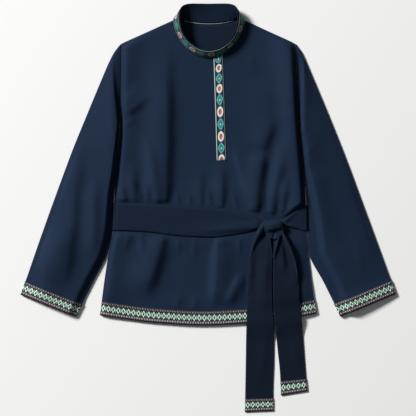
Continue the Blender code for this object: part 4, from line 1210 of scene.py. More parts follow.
def open_slit(mesh: bpy.types.Mesh, columns: int, slit_column: int, foot_row: int) -> None:
    """Cut a grid open along a column, from a row up to its edge."""
    grid = bmesh.new()
    grid.from_mesh(mesh)
    grid.verts.ensure_lookup_table()
    line = {grid.verts[i] for i in range(slit_column, len(grid.verts), columns) if i // columns >= foot_row}
    left_of = {grid.verts[i] for i in range(slit_column - 1, len(grid.verts), columns)}
    seam = [edge for edge in grid.edges if edge.verts[0] in line and edge.verts[1] in line]
    split = bmesh.ops.split_edges(grid, edges=seam)["edges"]
    lips = {vert for edge in split for vert in edge.verts if vert.is_boundary}
    for vert in lips:
        around = {other for face in vert.link_faces for other in face.verts} - lips
        faces_left = bool(around & left_of)
        faces_right = bool(around - left_of)
        if faces_left != faces_right:
            vert.co.x += -SLIT / 2.0 if faces_left else SLIT / 2.0
    grid.to_mesh(mesh)
    grid.free()


def weld(mesh: bpy.types.Mesh, distance: float) -> None:
    """Join the points of a mesh that lie within a distance of each other."""
    welded = bmesh.new()
    welded.from_mesh(mesh)
    bmesh.ops.remove_doubles(welded, verts=welded.verts, dist=distance)
    welded.to_mesh(mesh)
    welded.free()


def add_object(name: str, data: bpy.types.ID) -> bpy.types.Object:
    """Add an object to the scene."""
    item = bpy.data.objects.new(name, data)
    bpy.context.scene.collection.objects.link(item)
    return item


def plain_object(name: str, mesh: bpy.types.Mesh, material: bpy.types.Material) -> bpy.types.Object:
    """Add an object for a mesh, shaded smooth, with one material."""
    item = add_object(name, mesh)
    mesh.materials.clear()
    mesh.materials.append(material)
    mesh.shade_smooth()
    return item


def shown_mesh(item: bpy.types.Object) -> bpy.types.Mesh:
    """The plain mesh that an object's curve or modifiers show."""
    bpy.context.view_layer.update()
    return bpy.data.meshes.new_from_object(item.evaluated_get(bpy.context.evaluated_depsgraph_get()))


def settle(item: bpy.types.Object) -> None:
    """Turn an object's modifiers into a plain mesh."""
    mesh = shown_mesh(item)
    item.modifiers.clear()
    item.data = mesh


def make_cloth(
    name: str,
    points: Grid,
    thickness: float,
    material: bpy.types.Material,
    outward: float = 1.0,
    ring: bool = False,
    slit: Optional[tuple[int, int]] = None,
    pattern: Optional[Grid] = None,
) -> bpy.types.Object:
    """Make a piece of cloth: a grid laid on its points, thickened along its normals or against them.

    Args:
        name: The piece's name.
        points: Rows and columns of places.
        thickness: The cloth's wall.
        material: Its finish.
        outward: 1 to thicken along the normals, -1 against them.
        ring: True where the last column meets the first.
        slit: The column and the row at which a slit is cut.
        pattern: The map of a woven pattern, if it has one.

    Returns:
        The finished piece.
    """
    maps = {"Weave": weave_map(points)}
    if pattern is not None:
        maps["Pattern"] = pattern
    mesh = lay_mesh(name, points, maps)
    if slit is not None:
        open_slit(mesh, points.shape[1], *slit)
    if ring:
        weld(mesh, RING_WELD)
    item = plain_object(name, mesh, material)
    wall = item.modifiers.new("Thickness", "SOLIDIFY")
    wall.thickness = thickness
    wall.offset = outward
    wall.use_even_offset = True
    settle(item)
    return item


def attach(item: bpy.types.Object, slot: str, *nodes: str) -> bpy.types.Object:
    """Let a piece ride on the garment, in the place of its solids, and report it."""
    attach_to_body(item, "root")
    if nodes:
        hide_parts(*nodes)
    log.info("%s: %d faces", item.name, len(item.data.polygons))
    return item


@dataclass(frozen=True)
class Stitches:
    """Sewn rows: one small stitch of thread, repeated along lines of points by Geometry Nodes."""

    material: bpy.types.Material
    length: float = 0.0026
    thickness: float = 0.00055
    pitch: float = 0.0038
    smallest: tuple[float, float, float] = (0.85, 0.9, 0.9)
    largest: tuple[float, float, float] = (1.1, 1.1, 1.1)
    seed: int = 7

    def tree(self) -> bpy.types.NodeTree:
        """Build the node tree: resample the lines, put a stitch at each point, and turn it along the line."""
        tree = bpy.data.node_groups.new("sewn_stitches", "GeometryNodeTree")
        kinds = {"Pitch": "Float", "Length": "Float", "Thickness": "Float", "Seed": "Int"}
        for title, kind in {"Geometry": "Geometry", **kinds}.items():
            tree.interface.new_socket(title, in_out="INPUT", socket_type=f"NodeSocket{kind}")
        tree.interface.new_socket("Geometry", in_out="OUTPUT", socket_type="NodeSocketGeometry")
        given = add_node(tree, "NodeGroupInput", {}).outputs
        lines = add_node(tree, "GeometryNodeMeshToCurve", {"Mesh": given["Geometry"]})
        evenly = add_node(
            tree,
            "GeometryNodeResampleCurve",
            {"Curve": lines.outputs[0], "Length": given["Pitch"]},
            mode="LENGTH",
        )
        size = add_node(
            tree, "ShaderNodeCombineXYZ", {0: given["Length"], 1: given["Thickness"], 2: given["Thickness"]}
        )
        bead = add_node(tree, "GeometryNodeMeshUVSphere", {"Segments": 6, "Rings": 4, "Radius": 0.5})
        stitch = add_node(
            tree, "GeometryNodeTransform", {"Geometry": bead.outputs["Mesh"], "Scale": size.outputs[0]}
        )
        way = add_node(tree, "GeometryNodeInputTangent", {})
        turned = add_node(
            tree, "FunctionNodeAlignRotationToVector", {"Vector": way.outputs[0]}, axis="X"
        )
        uneven = add_node(
            tree,
            "FunctionNodeRandomValue",
            {0: self.smallest, 1: self.largest, "Seed": given["Seed"]},
            data_type="FLOAT_VECTOR",
        )
        placed = add_node(
            tree,
            "GeometryNodeInstanceOnPoints",
            {
                "Points": evenly.outputs[0],
                "Instance": stitch.outputs[0],
                "Rotation": turned.outputs[0],
                "Scale": uneven.outputs[0],
            },
        )
        real = add_node(tree, "GeometryNodeRealizeInstances", {"Geometry": placed.outputs[0]})
        dyed = add_node(
            tree, "GeometryNodeSetMaterial", {"Geometry": real.outputs[0], "Material": self.material}
        )
        add_node(tree, "NodeGroupOutput", {0: dyed.outputs[0]})
        return tree

    def sew(self, name: str, lines: Sequence[Grid], slot: str) -> bpy.types.Object:
        """Sew along lines.

        Args:
            name: The stitches' name.
            lines: The points of each row of stitches.
            slot: The material slot of the cloth that they are sewn through; not used.

        Returns:
            The stitches, as a plain mesh.
        """
        points = np.vstack(lines)
        edges = []
        first = 0
        for line in lines:
            edges += [(first + i, first + i + 1) for i in range(len(line) - 1)]
            first += len(line)
        mesh = bpy.data.meshes.new(name)
        mesh.from_pydata(points.tolist(), edges, [])
        item = plain_object(name, mesh, self.material)
        tree = self.tree()
        nodes = item.modifiers.new("Stitches", "NODES")
        nodes.node_group = tree
        values = {"Pitch": self.pitch, "Length": self.length, "Thickness": self.thickness, "Seed": self.seed}
        for socket in tree.interface.items_tree:
            if socket.in_out == "INPUT" and socket.name in values:
                nodes[socket.identifier] = values[socket.name]
        settle(item)
        item.data.shade_smooth()
        return attach(item, slot)


@dataclass
class Body:
    """The front and back panels, the ribbons on their hems and the ribbon down the placket."""

    lie: Lie
    neck: NeckRing
    finishes: Finishes
    slit_hem_x: float = 0.0570
    hem_neck_x: float = 0.1280
    placket_foot_y: float = 0.1154
    placket_inset: float = 0.0015
    shoulder_steps: int = 26
    neck_steps_left: int = 63
    neck_steps_right: int = 36
    placket_columns: int = 9
    neck_steps_back: int = 48
    back_steps: tuple[int, ...] = (4, 5, 14, 5, 8, 5, 44)
    edge_steps: tuple[float, ...] = (0.0, 0.008, 0.018, 0.032, 0.050, 0.074, 0.100)
    band_steps: int = 10
    skirt_steps: int = 42
    belt_steps: int = 16
    gather_steps: int = 40
    chest_steps: int = 56
    gather_power: float = 1.2
    side_power: int = 3
    place_rounds: int = 4
    painted_shade_normal: float = 0.3

    def straight_side(self, side: float, y: Grid) -> Grid:
        """A straight line from the hem's corner to the shoulder's tip, on one side."""
        corner = HEM[0] if side < 0.0 else HEM[-1]
        up = (y - corner.y) / (SHOULDER_TIP_Y - corner.y)
        return corner.x + (side * SHOULDER_TIP_X - corner.x) * up

    def panel_columns(self, neck_turns: Grid, shoulder_steps: int, slit_column: Optional[int]) -> tuple:
        """The ends of a panel's columns: x at the hem, and x and y at the shoulder or neck."""
        inner = np.linspace(self.edge_steps[-1], 1.0, shoulder_steps)[1:]
        steps = np.concatenate((self.edge_steps, inner))
        base = self.neck.base(neck_turns)
        left_x = -SHOULDER_TIP_X + steps * (base[0, 0] + SHOULDER_TIP_X)
        left_y = SHOULDER_TIP_Y + steps * (base[0, 1] - SHOULDER_TIP_Y)
        right_x = (SHOULDER_TIP_X + steps * (base[-1, 0] - SHOULDER_TIP_X))[::-1]
        right_y = (SHOULDER_TIP_Y + steps * (base[-1, 1] - SHOULDER_TIP_Y))[::-1]
        top_x = np.concatenate((left_x, base[1:-1, 0], right_x))
        top_y = np.concatenate((left_y, base[1:-1, 1], right_y))
        hem_neck = self.hem_neck_x
        left_hem = HEM[0].x + steps * (-hem_neck - HEM[0].x)
        right_hem = (HEM[-1].x + steps * (hem_neck - HEM[-1].x))[::-1]
        if slit_column is None:
            middle_hem = np.linspace(-hem_neck, hem_neck, len(neck_turns))[1:-1]
        else:
            before = slit_column - len(steps) + 2
            after = len(top_x) - slit_column - len(steps) + 1
            to_slit = np.linspace(-hem_neck, self.slit_hem_x, before)[1:]
            from_slit = np.linspace(self.slit_hem_x, hem_neck, after)[1:-1]
            middle_hem = np.concatenate((to_slit, from_slit))
        return np.concatenate((left_hem, middle_hem, right_hem)), top_x, top_y

    def panel_places(self, hem_x: Grid, top_x: Grid, top_y: Grid, bounds: Sequence, steps: Sequence) -> Grid:
        """The x and y of a panel's points.

        Args:
            hem_x: Each column's x at the hem.
            top_x: Each column's x at the top.
            top_y: Each column's y at the top.
            bounds: The levels that the panel's stretches meet at, up from the hem, each a function of x.
            steps: The shares at which each stretch is divided.

        Returns:
            A row of places for each level.
        """
        share = np.linspace(0.0, 1.0, len(hem_x))
        hem_line = self.lie.hem_y(hem_x)
        parts = [(bounds[0], bounds[0], 0.0)]
        for lower, upper, shares in zip(bounds[:-1], bounds[1:], steps):
            parts += [(lower, upper, part) for part in shares]
        places = []
        for lower, upper, part in parts:
            x = hem_x.copy()
            for _ in range(self.place_rounds):
                y = lower(x) * (1.0 - part) + upper(x) * part
                up = (y - hem_line) / (top_y - hem_line)
                straight = hem_x + (top_x - hem_x) * up
                left, right = self.lie.side_edges(y)
                under_tip = y < SHOULDER_TIP_Y
                to_left = np.where(under_tip, left - self.straight_side(-1.0, y), 0.0)
                to_right = np.where(under_tip, right - self.straight_side(1.0, y), 0.0)
                power = self.side_power
                x = straight + (1.0 - share) ** power * to_left + share**power * to_right
            places.append(np.stack((x, y), axis=1))
        return np.array(places)

    def front_places(self) -> tuple[Grid, int, dict[str, int]]:
        """The places of the front's points, the column of its slit, and the rows where each part starts."""
        turn = self.neck.slit_turn()
        left_turns = self.neck.even_turns(-self.neck.side_turn(), turn, self.neck_steps_left)
        right_turns = self.neck.even_turns(turn, self.neck.side_turn(), self.neck_steps_right)
        turns = np.concatenate((left_turns, right_turns[1:]))
        slit_column = len(self.edge_steps) + self.shoulder_steps - 2 + self.neck_steps_left
        hem_x, top_x, top_y = self.panel_columns(turns, self.shoulder_steps, slit_column)
        top_x[slit_column] = self.neck.slit_x
        slit_x = (self.neck.slit_x + self.slit_hem_x) / 2.0
        waist = self.lie.belt_top(slit_x)
        foot = (self.placket_foot_y - waist) / (top_y[slit_column] - waist)
        gathers = [foot * share**self.gather_power for share in even(self.gather_steps)]
        chest = [foot + (1.0 - foot) * share for share in even(self.chest_steps)]
        lie = self.lie
        bounds = (lie.hem_y, lie.band_top, lie.belt_bottom, lie.belt_top, lambda x: top_y)
        steps = (even(self.band_steps), even(self.skirt_steps), even(self.belt_steps), gathers + chest)
        rows = {"band": self.band_steps, "belt": self.band_steps + self.skirt_steps}
        rows["chest"] = rows["belt"] + self.belt_steps
        rows["foot"] = rows["chest"] + self.gather_steps
        return self.panel_places(hem_x, top_x, top_y, bounds, steps), slit_column, rows

    def back_places(self) -> tuple[Grid, int]:
        """The places of the back's points, and the row at the top of its hem ribbon."""
        side = self.neck.side_turn()
        turns = self.neck.even_turns(1.0 - side, side, self.neck_steps_back)
        hem_x, top_x, top_y = self.panel_columns(turns, self.shoulder_steps, None)
        lie = self.lie
        run = lie.lift_run
        margin = lie.belt_margin
        bounds = (
            lie.hem_y,
            lie.band_top,
            lambda x: lie.band_top(x) + run,
            lambda x: lie.back_belt_edges(x)[0] - run,
            lambda x: lie.back_belt_edges(x)[0] - margin,
            lambda x: lie.back_belt_edges(x)[1] + margin,
            lambda x: lie.back_belt_edges(x)[1] + run,
            lambda x: top_y,
        )
        steps = [even(count) for count in self.back_steps]
        return self.panel_places(hem_x, top_x, top_y, bounds, steps), self.back_steps[0]

    def placket_map(self, points: Grid) -> Grid:
        """The pattern's map down the placket: the motifs' own places, and the share across."""
        middle = points[::-1, points.shape[1] // 2]
        down = run_lengths(middle)[::-1]
        turns = np.interp(down, column(PLACKET_TURNS, "along"), column(PLACKET_TURNS, "motif"))
        across = np.linspace(0.0, 1.0, points.shape[1])
        return pattern_map(across, turns / 2.0)[..., ::-1]

    def build(self) -> None:
        """Make the panels and their ribbons."""
        finishes = self.finishes
        places, slit_column, rows = self.front_places()
        points = with_height(places, self.lie.front_underside)
        slit = (slit_column, rows["foot"])
        front = make_cloth("front_panel", points, CLOTH, finishes.cloth, slit=slit)
        lifted = moved_out(points, CLOTH + GAP)
        band = lifted[: rows["band"] + 1]
        front_band = make_cloth(
            "front_hem_trim", band, RIBBON, finishes.edge_ribbon, pattern=edge_ribbon_map(band)
        )
        placket = lifted[rows["foot"] :, slit_column - self.placket_columns : slit_column + 1].copy()
        placket[:, -1, 0] -= SLIT / 2.0
        placket[-1, :, 1] -= self.placket_inset
        strip = make_cloth(
            "placket_trim", placket, RIBBON, finishes.neck_ribbon, pattern=self.placket_map(placket)
        )
        back_places, band_row = self.back_places()
        back = make_cloth(
            "back_panel", with_height(back_places, self.lie.back_underside), CLOTH, finishes.cloth
        )
        low = back_places[: band_row + 1]
        low = np.concatenate((low, np.zeros(low.shape[:2] + (1,))), axis=2)
        # The back's upward faces, seen inside the neck, take the deeper navy of the painted shade
        back.data.materials.append(finishes.neck_painted_shade)
        for face in back.data.polygons:
            face.material_index = 1 if face.normal.z > self.painted_shade_normal else 0
        back_band = make_cloth(
            "back_hem_trim", low, RIBBON, finishes.edge_ribbon, pattern=edge_ribbon_map(low)
        )
        self.belt_stretch = lifted[rows["belt"] : rows["chest"] + 1]
        attach(front, "cloth", "front")
        attach(back, "cloth", "back")
        attach(front_band, "edge_ribbon", "hem_ribbon_front")
        attach(back_band, "edge_ribbon", "hem_ribbon_back")
        attach(strip, "neck_ribbon", "placket_ribbon")
        sewn = Stitches(finishes.ribbon_thread)
        over = moved_out(band, RIBBON)
        sewn.sew("front_hem_stitches", [over[1], over[-2]], "edge_ribbon")
        over = moved_out(placket, RIBBON)
        sewn.sew("placket_stitches", [over[:, 1], over[:, -2], over[1]], "neck_ribbon")


@dataclass
class Sleeve:
    """A sleeve, a flattened tube from armhole to cuff, and the ribbon round its cuff."""

    lie: Lie
    finishes: Finishes
    side: str
    sections: tuple[SleeveSection, ...]
    mirrored: bool
    stations: int = 110
    top_steps: int = 56
    edge_steps: int = 6
    bottom_steps: int = 14
    crown_run: float = 0.0185
    crown_power: float = 1.5
    crown_head_power: float = 8.0
    crown_head_share: float = 0.30
    still_edge: float = 0.25
    still_head: float = 0.12
    still_cuff: float = 0.6
    still_cuff_start: float = 0.86
    still_cuff_run: float = 0.10
    rise_steps: int = 5
    cuff_steps: int = 7
    stitch_inset: float = 0.12

    def crown_share(self, distance: Grid, width: float, station: float, start: float) -> Grid:
        """How high the sleeve stands off its inner edge: steeply up to a ridge, then gently down."""
        power = self.crown_power + self.crown_head_power * (1.0 - ease(station / self.crown_head_share))
        ridge = start + self.crown_run
        rise = ease((distance - start) / self.crown_run)
        past = np.clip((distance - ridge) / (width - ridge), 0.0, 1.0)
        return rise * (1.0 - past**power)

    def ring(self, station: float, lift: float, proud: float) -> Grid:
        """A ring round the sleeve.

        Args:
            station: From 0 at the armhole to 1 at the cuff.
            lift: How far it stands off the surface.
            proud: How far it is moved out from the sleeve's own face.

        Returns:
            The ring's points, the last on the first.
        """
        keys = np.linspace(0.0, 1.0, len(self.sections))
        row = {
            name: float(smooth_read(keys, column(self.sections, name), station))
            for name in SleeveSection._fields
        }
        outer = np.array([row["outer_x"], row["outer_y"]])
        inner = np.array([row["inner_x"], row["inner_y"]])
        width = float(np.linalg.norm(outer - inner))
        radius = row["radius"]
        edge = radius / width
        turn = np.linspace(0.0, math.pi, self.edge_steps + 1)[1:-1]
        bottom = np.linspace(edge, 1.0 - edge, self.bottom_steps + 1)
        top = np.linspace(1.0 - edge, edge, self.top_steps + 1)
        reach = (radius + proud) / width
        across = [bottom, 1.0 - edge + reach * np.sin(turn), top, edge - reach * np.sin(turn)]
        heights = [np.full(bottom.shape, -proud), radius - (radius + proud) * np.cos(turn)]
        arc = (top - 0.5) / (0.5 - edge)
        share = self.crown_share(top * width, width, station, row["crown_start"])
        crown = row["crown"] * share
        at = inner[None, :] + (outer - inner)[None, :] * top[:, None]
        still = ease((1.0 - np.abs(arc)) / self.still_edge) * ease(station / self.still_head)
        at_cuff = ease((station - self.still_cuff_start) / self.still_cuff_run)
        still = still * (1.0 - self.still_cuff * at_cuff)
        folds = self.lie.fold_height(SLEEVE_FOLDS, at[:, 0], at[:, 1])
        folds = folds + self.lie.fold_height(SLEEVE_CREASES, at[:, 0], at[:, 1])
        crown = crown + still * (folds + self.lie.ripple(at[:, 0], at[:, 1]))
        heights += [2.0 * radius + proud + crown, radius + (radius + proud) * np.cos(turn)]
        across = np.concatenate(across)
        heights = np.concatenate(heights) + lift
        ring = inner[None, :] + (outer - inner)[None, :] * across[:, None]
        ring = np.concatenate((ring, heights[:, None]), axis=1)
        return np.vstack((ring, ring[:1]))

    def band_station(self) -> float:
        """The station of the upper edge of the cuff's ribbon."""
        last, before = self.sections[-1], self.sections[-2]
        run = math.hypot(last.outer_x - before.outer_x, last.outer_y - before.outer_y)
        return round(1.0 - self.lie.band_width / run / (len(self.sections) - 1), 5)

    def cuff_map(self, rings: Grid) -> Grid:
        """The pattern's map round the cuff: a whole number of repeats round, and the share across."""
        around = run_lengths(rings[-1])
        repeats = round(around[-1] / EDGE_REPEAT)
        return pattern_map(around / around[-1] * repeats, np.linspace(1.0, 0.0, len(rings)))

    def build(self) -> None:
        """Make the sleeve and its cuff ribbon."""
        first, last = self.sections[0], self.sections[-1]
        length = math.hypot(last.outer_x - first.outer_x, last.outer_y - first.outer_y)
        band = self.band_station()
        run = self.lie.lift_run / length
        plain = np.linspace(0.0, band - run, self.stations)
        rise = np.linspace(band - run, band, self.rise_steps)
        cuff_stations = np.linspace(band, 1.0, self.cuff_steps)
        stations = np.concatenate((plain, rise[1:], cuff_stations[1:]))
        lifts = (RIBBON + GAP) * ease((stations - band + run) / run)
        rings = np.array([self.ring(s, lift, 0.0) for s, lift in zip(stations, lifts)])
        cuff = np.array([self.ring(s, RIBBON + GAP, GAP) for s in cuff_stations])
        if not self.mirrored:
            rings = rings[:, ::-1]
            cuff = cuff[:, ::-1]
        sleeve = make_cloth(
            f"{self.side}_sleeve_tube", rings, CLOTH, self.finishes.cloth, outward=-1.0, ring=True
        )
        trim = make_cloth(
            f"{self.side}_cuff_trim",
            cuff,
            RIBBON,
            self.finishes.edge_ribbon,
            ring=True,
            pattern=self.cuff_map(cuff),
        )
        over = moved_out(cuff[:, :-1], RIBBON)
        upper = over[0] * self.stitch_inset + over[1] * (1.0 - self.stitch_inset)
        Stitches(self.finishes.ribbon_thread).sew(
            f"{self.side}_cuff_stitches", [upper, over[-2]], "edge_ribbon"
        )
        attach(sleeve, "cloth", f"sleeve_{self.side}")
        attach(trim, "edge_ribbon", f"cuff_ribbon_{self.side}")


@dataclass
class Collar:
    """The stand collar, its ribbon and the piping in the seam behind the neck."""

    neck: NeckRing
    finishes: Finishes
    stations: int = 200
    shares: tuple[float, ...] = (0.0, 0.04, 0.08, 0.18, 0.28, 0.38, 0.48, 0.58, 0.68, 0.77, 0.86, 0.93, 1.0)
    ribbon_first: int = 2
    ribbon_last: int = 10
    bulge: float = 0.0012
    piping_turn: float = 0.125
    piping_inset: float = 0.0022
    piping_steps: int = 90

    def grid(self) -> Grid:
        """Points of the collar's outer face: a row for each of its shares, round from end to end."""
        turn = self.neck.slit_turn()
        half_slit = 0.5 * SLIT / self.neck.collar_length
        turns = self.neck.even_turns(turn - 1.0 + half_slit, turn - half_slit, self.stations)
        base = self.neck.base(turns)
        top = self.neck.top(turns)
        grid = np.array([base * (1.0 - share) + top * share for share in self.shares])
        bulge = np.sin(math.pi * np.array(self.shares)) * self.bulge
        return grid + (moved_out(grid, 1.0) - grid) * bulge[:, None, None]

    def collar_map(self, points: Grid) -> Grid:
        """The pattern's map round the collar: its motifs, and the share across."""
        along = run_lengths(points[0]) / COLLAR_PITCH / 2.0
        return pattern_map(along, np.linspace(0.0, 1.0, len(points)))

    def piping(self) -> bpy.types.Object:
        """The piping: a thin round line along the collar's base, on the back panel."""
        turns = self.neck.even_turns(0.5 - self.piping_turn, 0.5 + self.piping_turn, self.piping_steps)
        line = self.neck.base(turns)
        curve = bpy.data.curves.new("neck_piping_line", "CURVE")
        curve.dimensions = "3D"
        curve.bevel_depth = PIPING / 2.0
        curve.bevel_resolution = 3
        curve.use_fill_caps = True
        spline = curve.splines.new("POLY")
        spline.points.add(len(line) - 1)
        height = CLOTH + GAP + PIPING / 2.0
        for point, place in zip(spline.points, line):
            point.co = (place[0], place[1] - self.piping_inset, height, 1.0)
        guide = add_object("piping_guide", curve)
        mesh = shown_mesh(guide)
        bpy.data.objects.remove(guide)
        weld(mesh, TUBE_WELD)
        return plain_object("neck_piping_line", mesh, self.finishes.piping)

    def build(self) -> None:
        """Make the collar, its ribbon and the piping."""
        grid = self.grid()
        # The collar is coloured with the same painted shade as the cloth inside the neck
        collar = make_cloth("stand_collar", grid, COLLAR, self.finishes.neck_painted_shade, outward=-1.0)
        band = moved_out(grid, GAP)[self.ribbon_first : self.ribbon_last + 1]
        trim = make_cloth(
            "collar_trim", band, RIBBON, self.finishes.collar_ribbon, pattern=self.collar_map(band)
        )
        over = moved_out(band, RIBBON)
        rows = [(over[0] + over[1]) * 0.5, (over[-1] + over[-2]) * 0.5]
        Stitches(self.finishes.ribbon_thread).sew("collar_stitches", rows, "neck_ribbon")
        attach(collar, "cloth", "collar")
        attach(trim, "neck_ribbon", "collar_ribbon")
        attach(self.piping(), "piping", "neck_piping")


@dataclass
class Sash:
    """The sash: its ring round the waist, its knot and its two hanging ends with their ribbons."""

    lie: Lie
    finishes: Finishes
    belt_stretch: Grid
    back_level: float = SASH + 0.00005
    knot_x: float = 0.1570
    knot_y: float = -0.0475
    knot_half_width: float = 0.0230
    knot_wrap_reach: float = 0.0205
    knot_foot_reach: float = 0.0265
    wrap_x: float = 0.1565
    wrap_y: float = -0.0410
    wrap_half: float = 0.0140
    wrap_tilt: float = 0.18
    wrap_pleat: float = 0.04
    wrap_end_fall: float = 0.35
    foot_share: float = 0.10
    strand_rows: int = 60
    strand_steps: int = 15
    strand_smoothing: int = 14
    knot_rim: float = 0.0030
    knot_height: float = 0.0090
    knot_clearance: float = 0.0009
    tail_rows: int = 120
    tail_steps: int = 26
    tail_root_rows: float = 0.35
    tail_smoothing: int = 4
    tail_band: float = 0.0300
    tail_band_steps: int = 9
    crease_rise: float = 3.0
    back_columns: int = 60
    side_points: int = 5
    wrap_waves: float = 620.0
    wrap_sway: float = 60.0
    wrap_power: float = 0.6
    knot_power: float = 0.5
    knot_sample: float = 0.004
    knot_columns: int = 128
    knot_rows: int = 96
    # Points of the round shape this far below its middle line make the knot's underside
    knot_equator: float = 0.001
    # The powers of the knot's outline across and up, above its middle and below it
    upper_powers: tuple[float, float] = (0.75, 0.8)
    lower_powers: tuple[float, float] = (1.25, 0.9)

    def belt_rings(self) -> Grid:
        """Rings round the waist, from the lower edge up: over the front, down each side and behind."""
        front = self.belt_stretch.copy()
        crown = np.sin(np.linspace(0.0, math.pi, len(front)))
        front[..., 2] += self.lie.arch_of_belt(front[..., 0]) * crown[:, None]
        creases = self.lie.fold_height(SASH_CREASES, front[..., 0], front[..., 1])
        front[..., 2] += creases * ease(self.crease_rise * crown)[:, None]
        rows = []
        for share, line in zip(np.linspace(0.0, 1.0, len(front)), front):
            left, right = line[0].copy(), line[-1].copy()
            left[0] -= 2.0 * GAP
            right[0] += 2.0 * GAP
            across = np.linspace(right[0], left[0], self.back_columns)[1:-1]
            low_edge, high_edge = self.lie.back_belt_edges(across)
            back_y = low_edge * (1.0 - share) + high_edge * share
            back = np.stack((across, back_y, np.full(across.shape, self.back_level)), axis=1)
            loop = np.vstack((line[1:-1], self.side_drop(right), back, self.side_drop(left)[::-1]))
            rows.append(np.vstack((loop, loop[:1])))
        return np.array(rows)

    def side_drop(self, corner: Grid) -> Grid:
        """The points down the sash's side, from its corner above to its back level."""
        drop = np.repeat(corner[None, :], self.side_points, axis=0)
        drop[:, 2] = np.linspace(corner[2], self.back_level, self.side_points)
        return drop

    def tail_places(self, sections: Sequence[TailSection], rows: Grid) -> Grid:
        """The places of a tail's points at some shares of its length."""
        keys = np.concatenate(([0.0], np.cumsum(np.abs(np.diff(column(sections, "right_y"))))))
        keys /= keys[-1]
        read = {name: smooth_read(keys, column(sections, name), rows) for name in TailSection._fields}
        left = np.stack((read["left_x"], read["left_y"]), axis=1)
        right = np.stack((read["right_x"], read["right_y"]), axis=1)
        share = np.linspace(0.0, 1.0, self.tail_steps + 1)
        return left[:, None, :] + (right - left)[:, None, :] * share[None, :, None]

    def tail(self, name: str, sections: Sequence[TailSection]) -> None:
        """Make a hanging end of the sash, and the ribbon across its end."""
        rows = np.linspace(0.0, 1.0, self.tail_rows + 1)
        rows = rows * (self.tail_root_rows + (1.0 - self.tail_root_rows) * rows)
        points = with_height(self.tail_places(sections, rows), self.lie.tail_height)
        points = smoothed_down(points, self.tail_smoothing)
        end = make_cloth(f"{name}_sash_end", points[::-1], SASH, self.finishes.sash_end)
        length = abs(sections[-1].right_y - sections[0].right_y)
        last_rows = np.linspace(1.0 - self.tail_band / length, 1.0, self.tail_band_steps)
        ends = with_height(self.tail_places(sections, last_rows), self.lie.tail_height)
        lifted = moved_out(ends[::-1], SASH + GAP)
        trim = make_cloth(
            f"{name}_end_trim",
            lifted,
            RIBBON,
            self.finishes.edge_ribbon,
            pattern=edge_ribbon_map(lifted),
        )
        over = moved_out(points[::-1], SASH)
        Stitches(self.finishes.thread).sew(f"{name}_end_stitches", [over[:, 1], over[:, -2]], "sash")
        over = moved_out(lifted, RIBBON)
        Stitches(self.finishes.ribbon_thread).sew(
            f"{name}_trim_stitches", [over[1], over[-2]], "edge_ribbon"
        )
        attach(end, "sash", f"tail_{name}")
        attach(trim, "edge_ribbon", f"tail_ribbon_{name}")

    def knot_outline(self, angle: float) -> tuple[float, float]:
        """The knot's reach at an angle: a wide wrap above and a narrow, rounded foot below."""
        across = math.cos(angle)
        up = math.sin(angle)
        powers = self.upper_powers if up >= 0.0 else self.lower_powers
        reach = self.knot_wrap_reach if up >= 0.0 else -self.knot_foot_reach
        half_width = self.knot_half_width * math.copysign(1.0, across)
        return half_width * abs(across) ** powers[0], reach * abs(up) ** powers[1]

    def knot_underside(self, x: Grid, y: Grid) -> Grid:
        """The height of the knot's underside, over the belt and the tails' roots."""
        height = np.zeros(x.shape)
        steps = (-self.knot_sample, 0.0, self.knot_sample)
        for step_x in steps:
            for step_y in steps:
                height = np.maximum(height, self.lie.tail_height(x + step_x, y + step_y) + SASH)
        return height + self.knot_clearance

    def knot_profile(self, x: Grid, y: Grid) -> Grid:
        """How full the knot is at a place: a tilted wrap with fine pleats over a low, dark foot."""
        off_x, off_y = x - self.wrap_x, y - self.wrap_y
        cos, sin = math.cos(self.wrap_tilt), math.sin(self.wrap_tilt)
        along = off_x * cos + off_y * sin
        across = off_y * cos - off_x * sin
        share = np.clip(1.0 - (across / self.wrap_half) ** 2, 0.0, 1.0)
        waves = np.sin(self.wrap_waves * across + self.wrap_sway * along)
        pleats = 1.0 + self.wrap_pleat * waves * ease(share * 2.0)
        ends = 1.0 - self.wrap_end_fall * np.clip(np.abs(along) / self.knot_half_width, 0.0, 1.0) ** 3
        return np.maximum(share**self.wrap_power * pleats * ends, self.foot_share)

    def strand(self, number: int, line: Sequence[Strand]) -> bpy.types.Object:
        """A strand of the sash that comes out of the knot: a soft ridge of cloth laid on what is beneath."""
        keys = np.linspace(0.0, 1.0, len(line))
        at = np.linspace(0.0, 1.0, self.strand_rows)
        x, y, half, rise = (smooth_read(keys, column(line, name), at) for name in Strand._fields)
        way = np.stack((np.gradient(x), np.gradient(y)), axis=1)
        way /= np.linalg.norm(way, axis=1, keepdims=True)
        across = np.linspace(-1.0, 1.0, self.strand_steps)
        places = np.empty((len(at), self.strand_steps, 2))
        places[..., 0] = x[:, None] - way[:, 1:] * half[:, None] * across
        places[..., 1] = y[:, None] + way[:, :1] * half[:, None] * across
        under = self.lie.tail_height(x, y) + SASH
        under = smoothed_down(np.repeat(under[:, None, None], 3, axis=2), self.strand_smoothing)[:, :1, 2]
        hump = np.sqrt(np.clip(1.0 - across**2, 0.0, 1.0))
        heights = under - SASH + (rise[:, None] + SASH) * hump
        points = np.concatenate((places, heights[..., None]), axis=2)
        mesh = lay_mesh(f"strand_{number}", points, {"Weave": weave_map(points)})
        return plain_object(f"strand_{number}", mesh, self.finishes.sash)

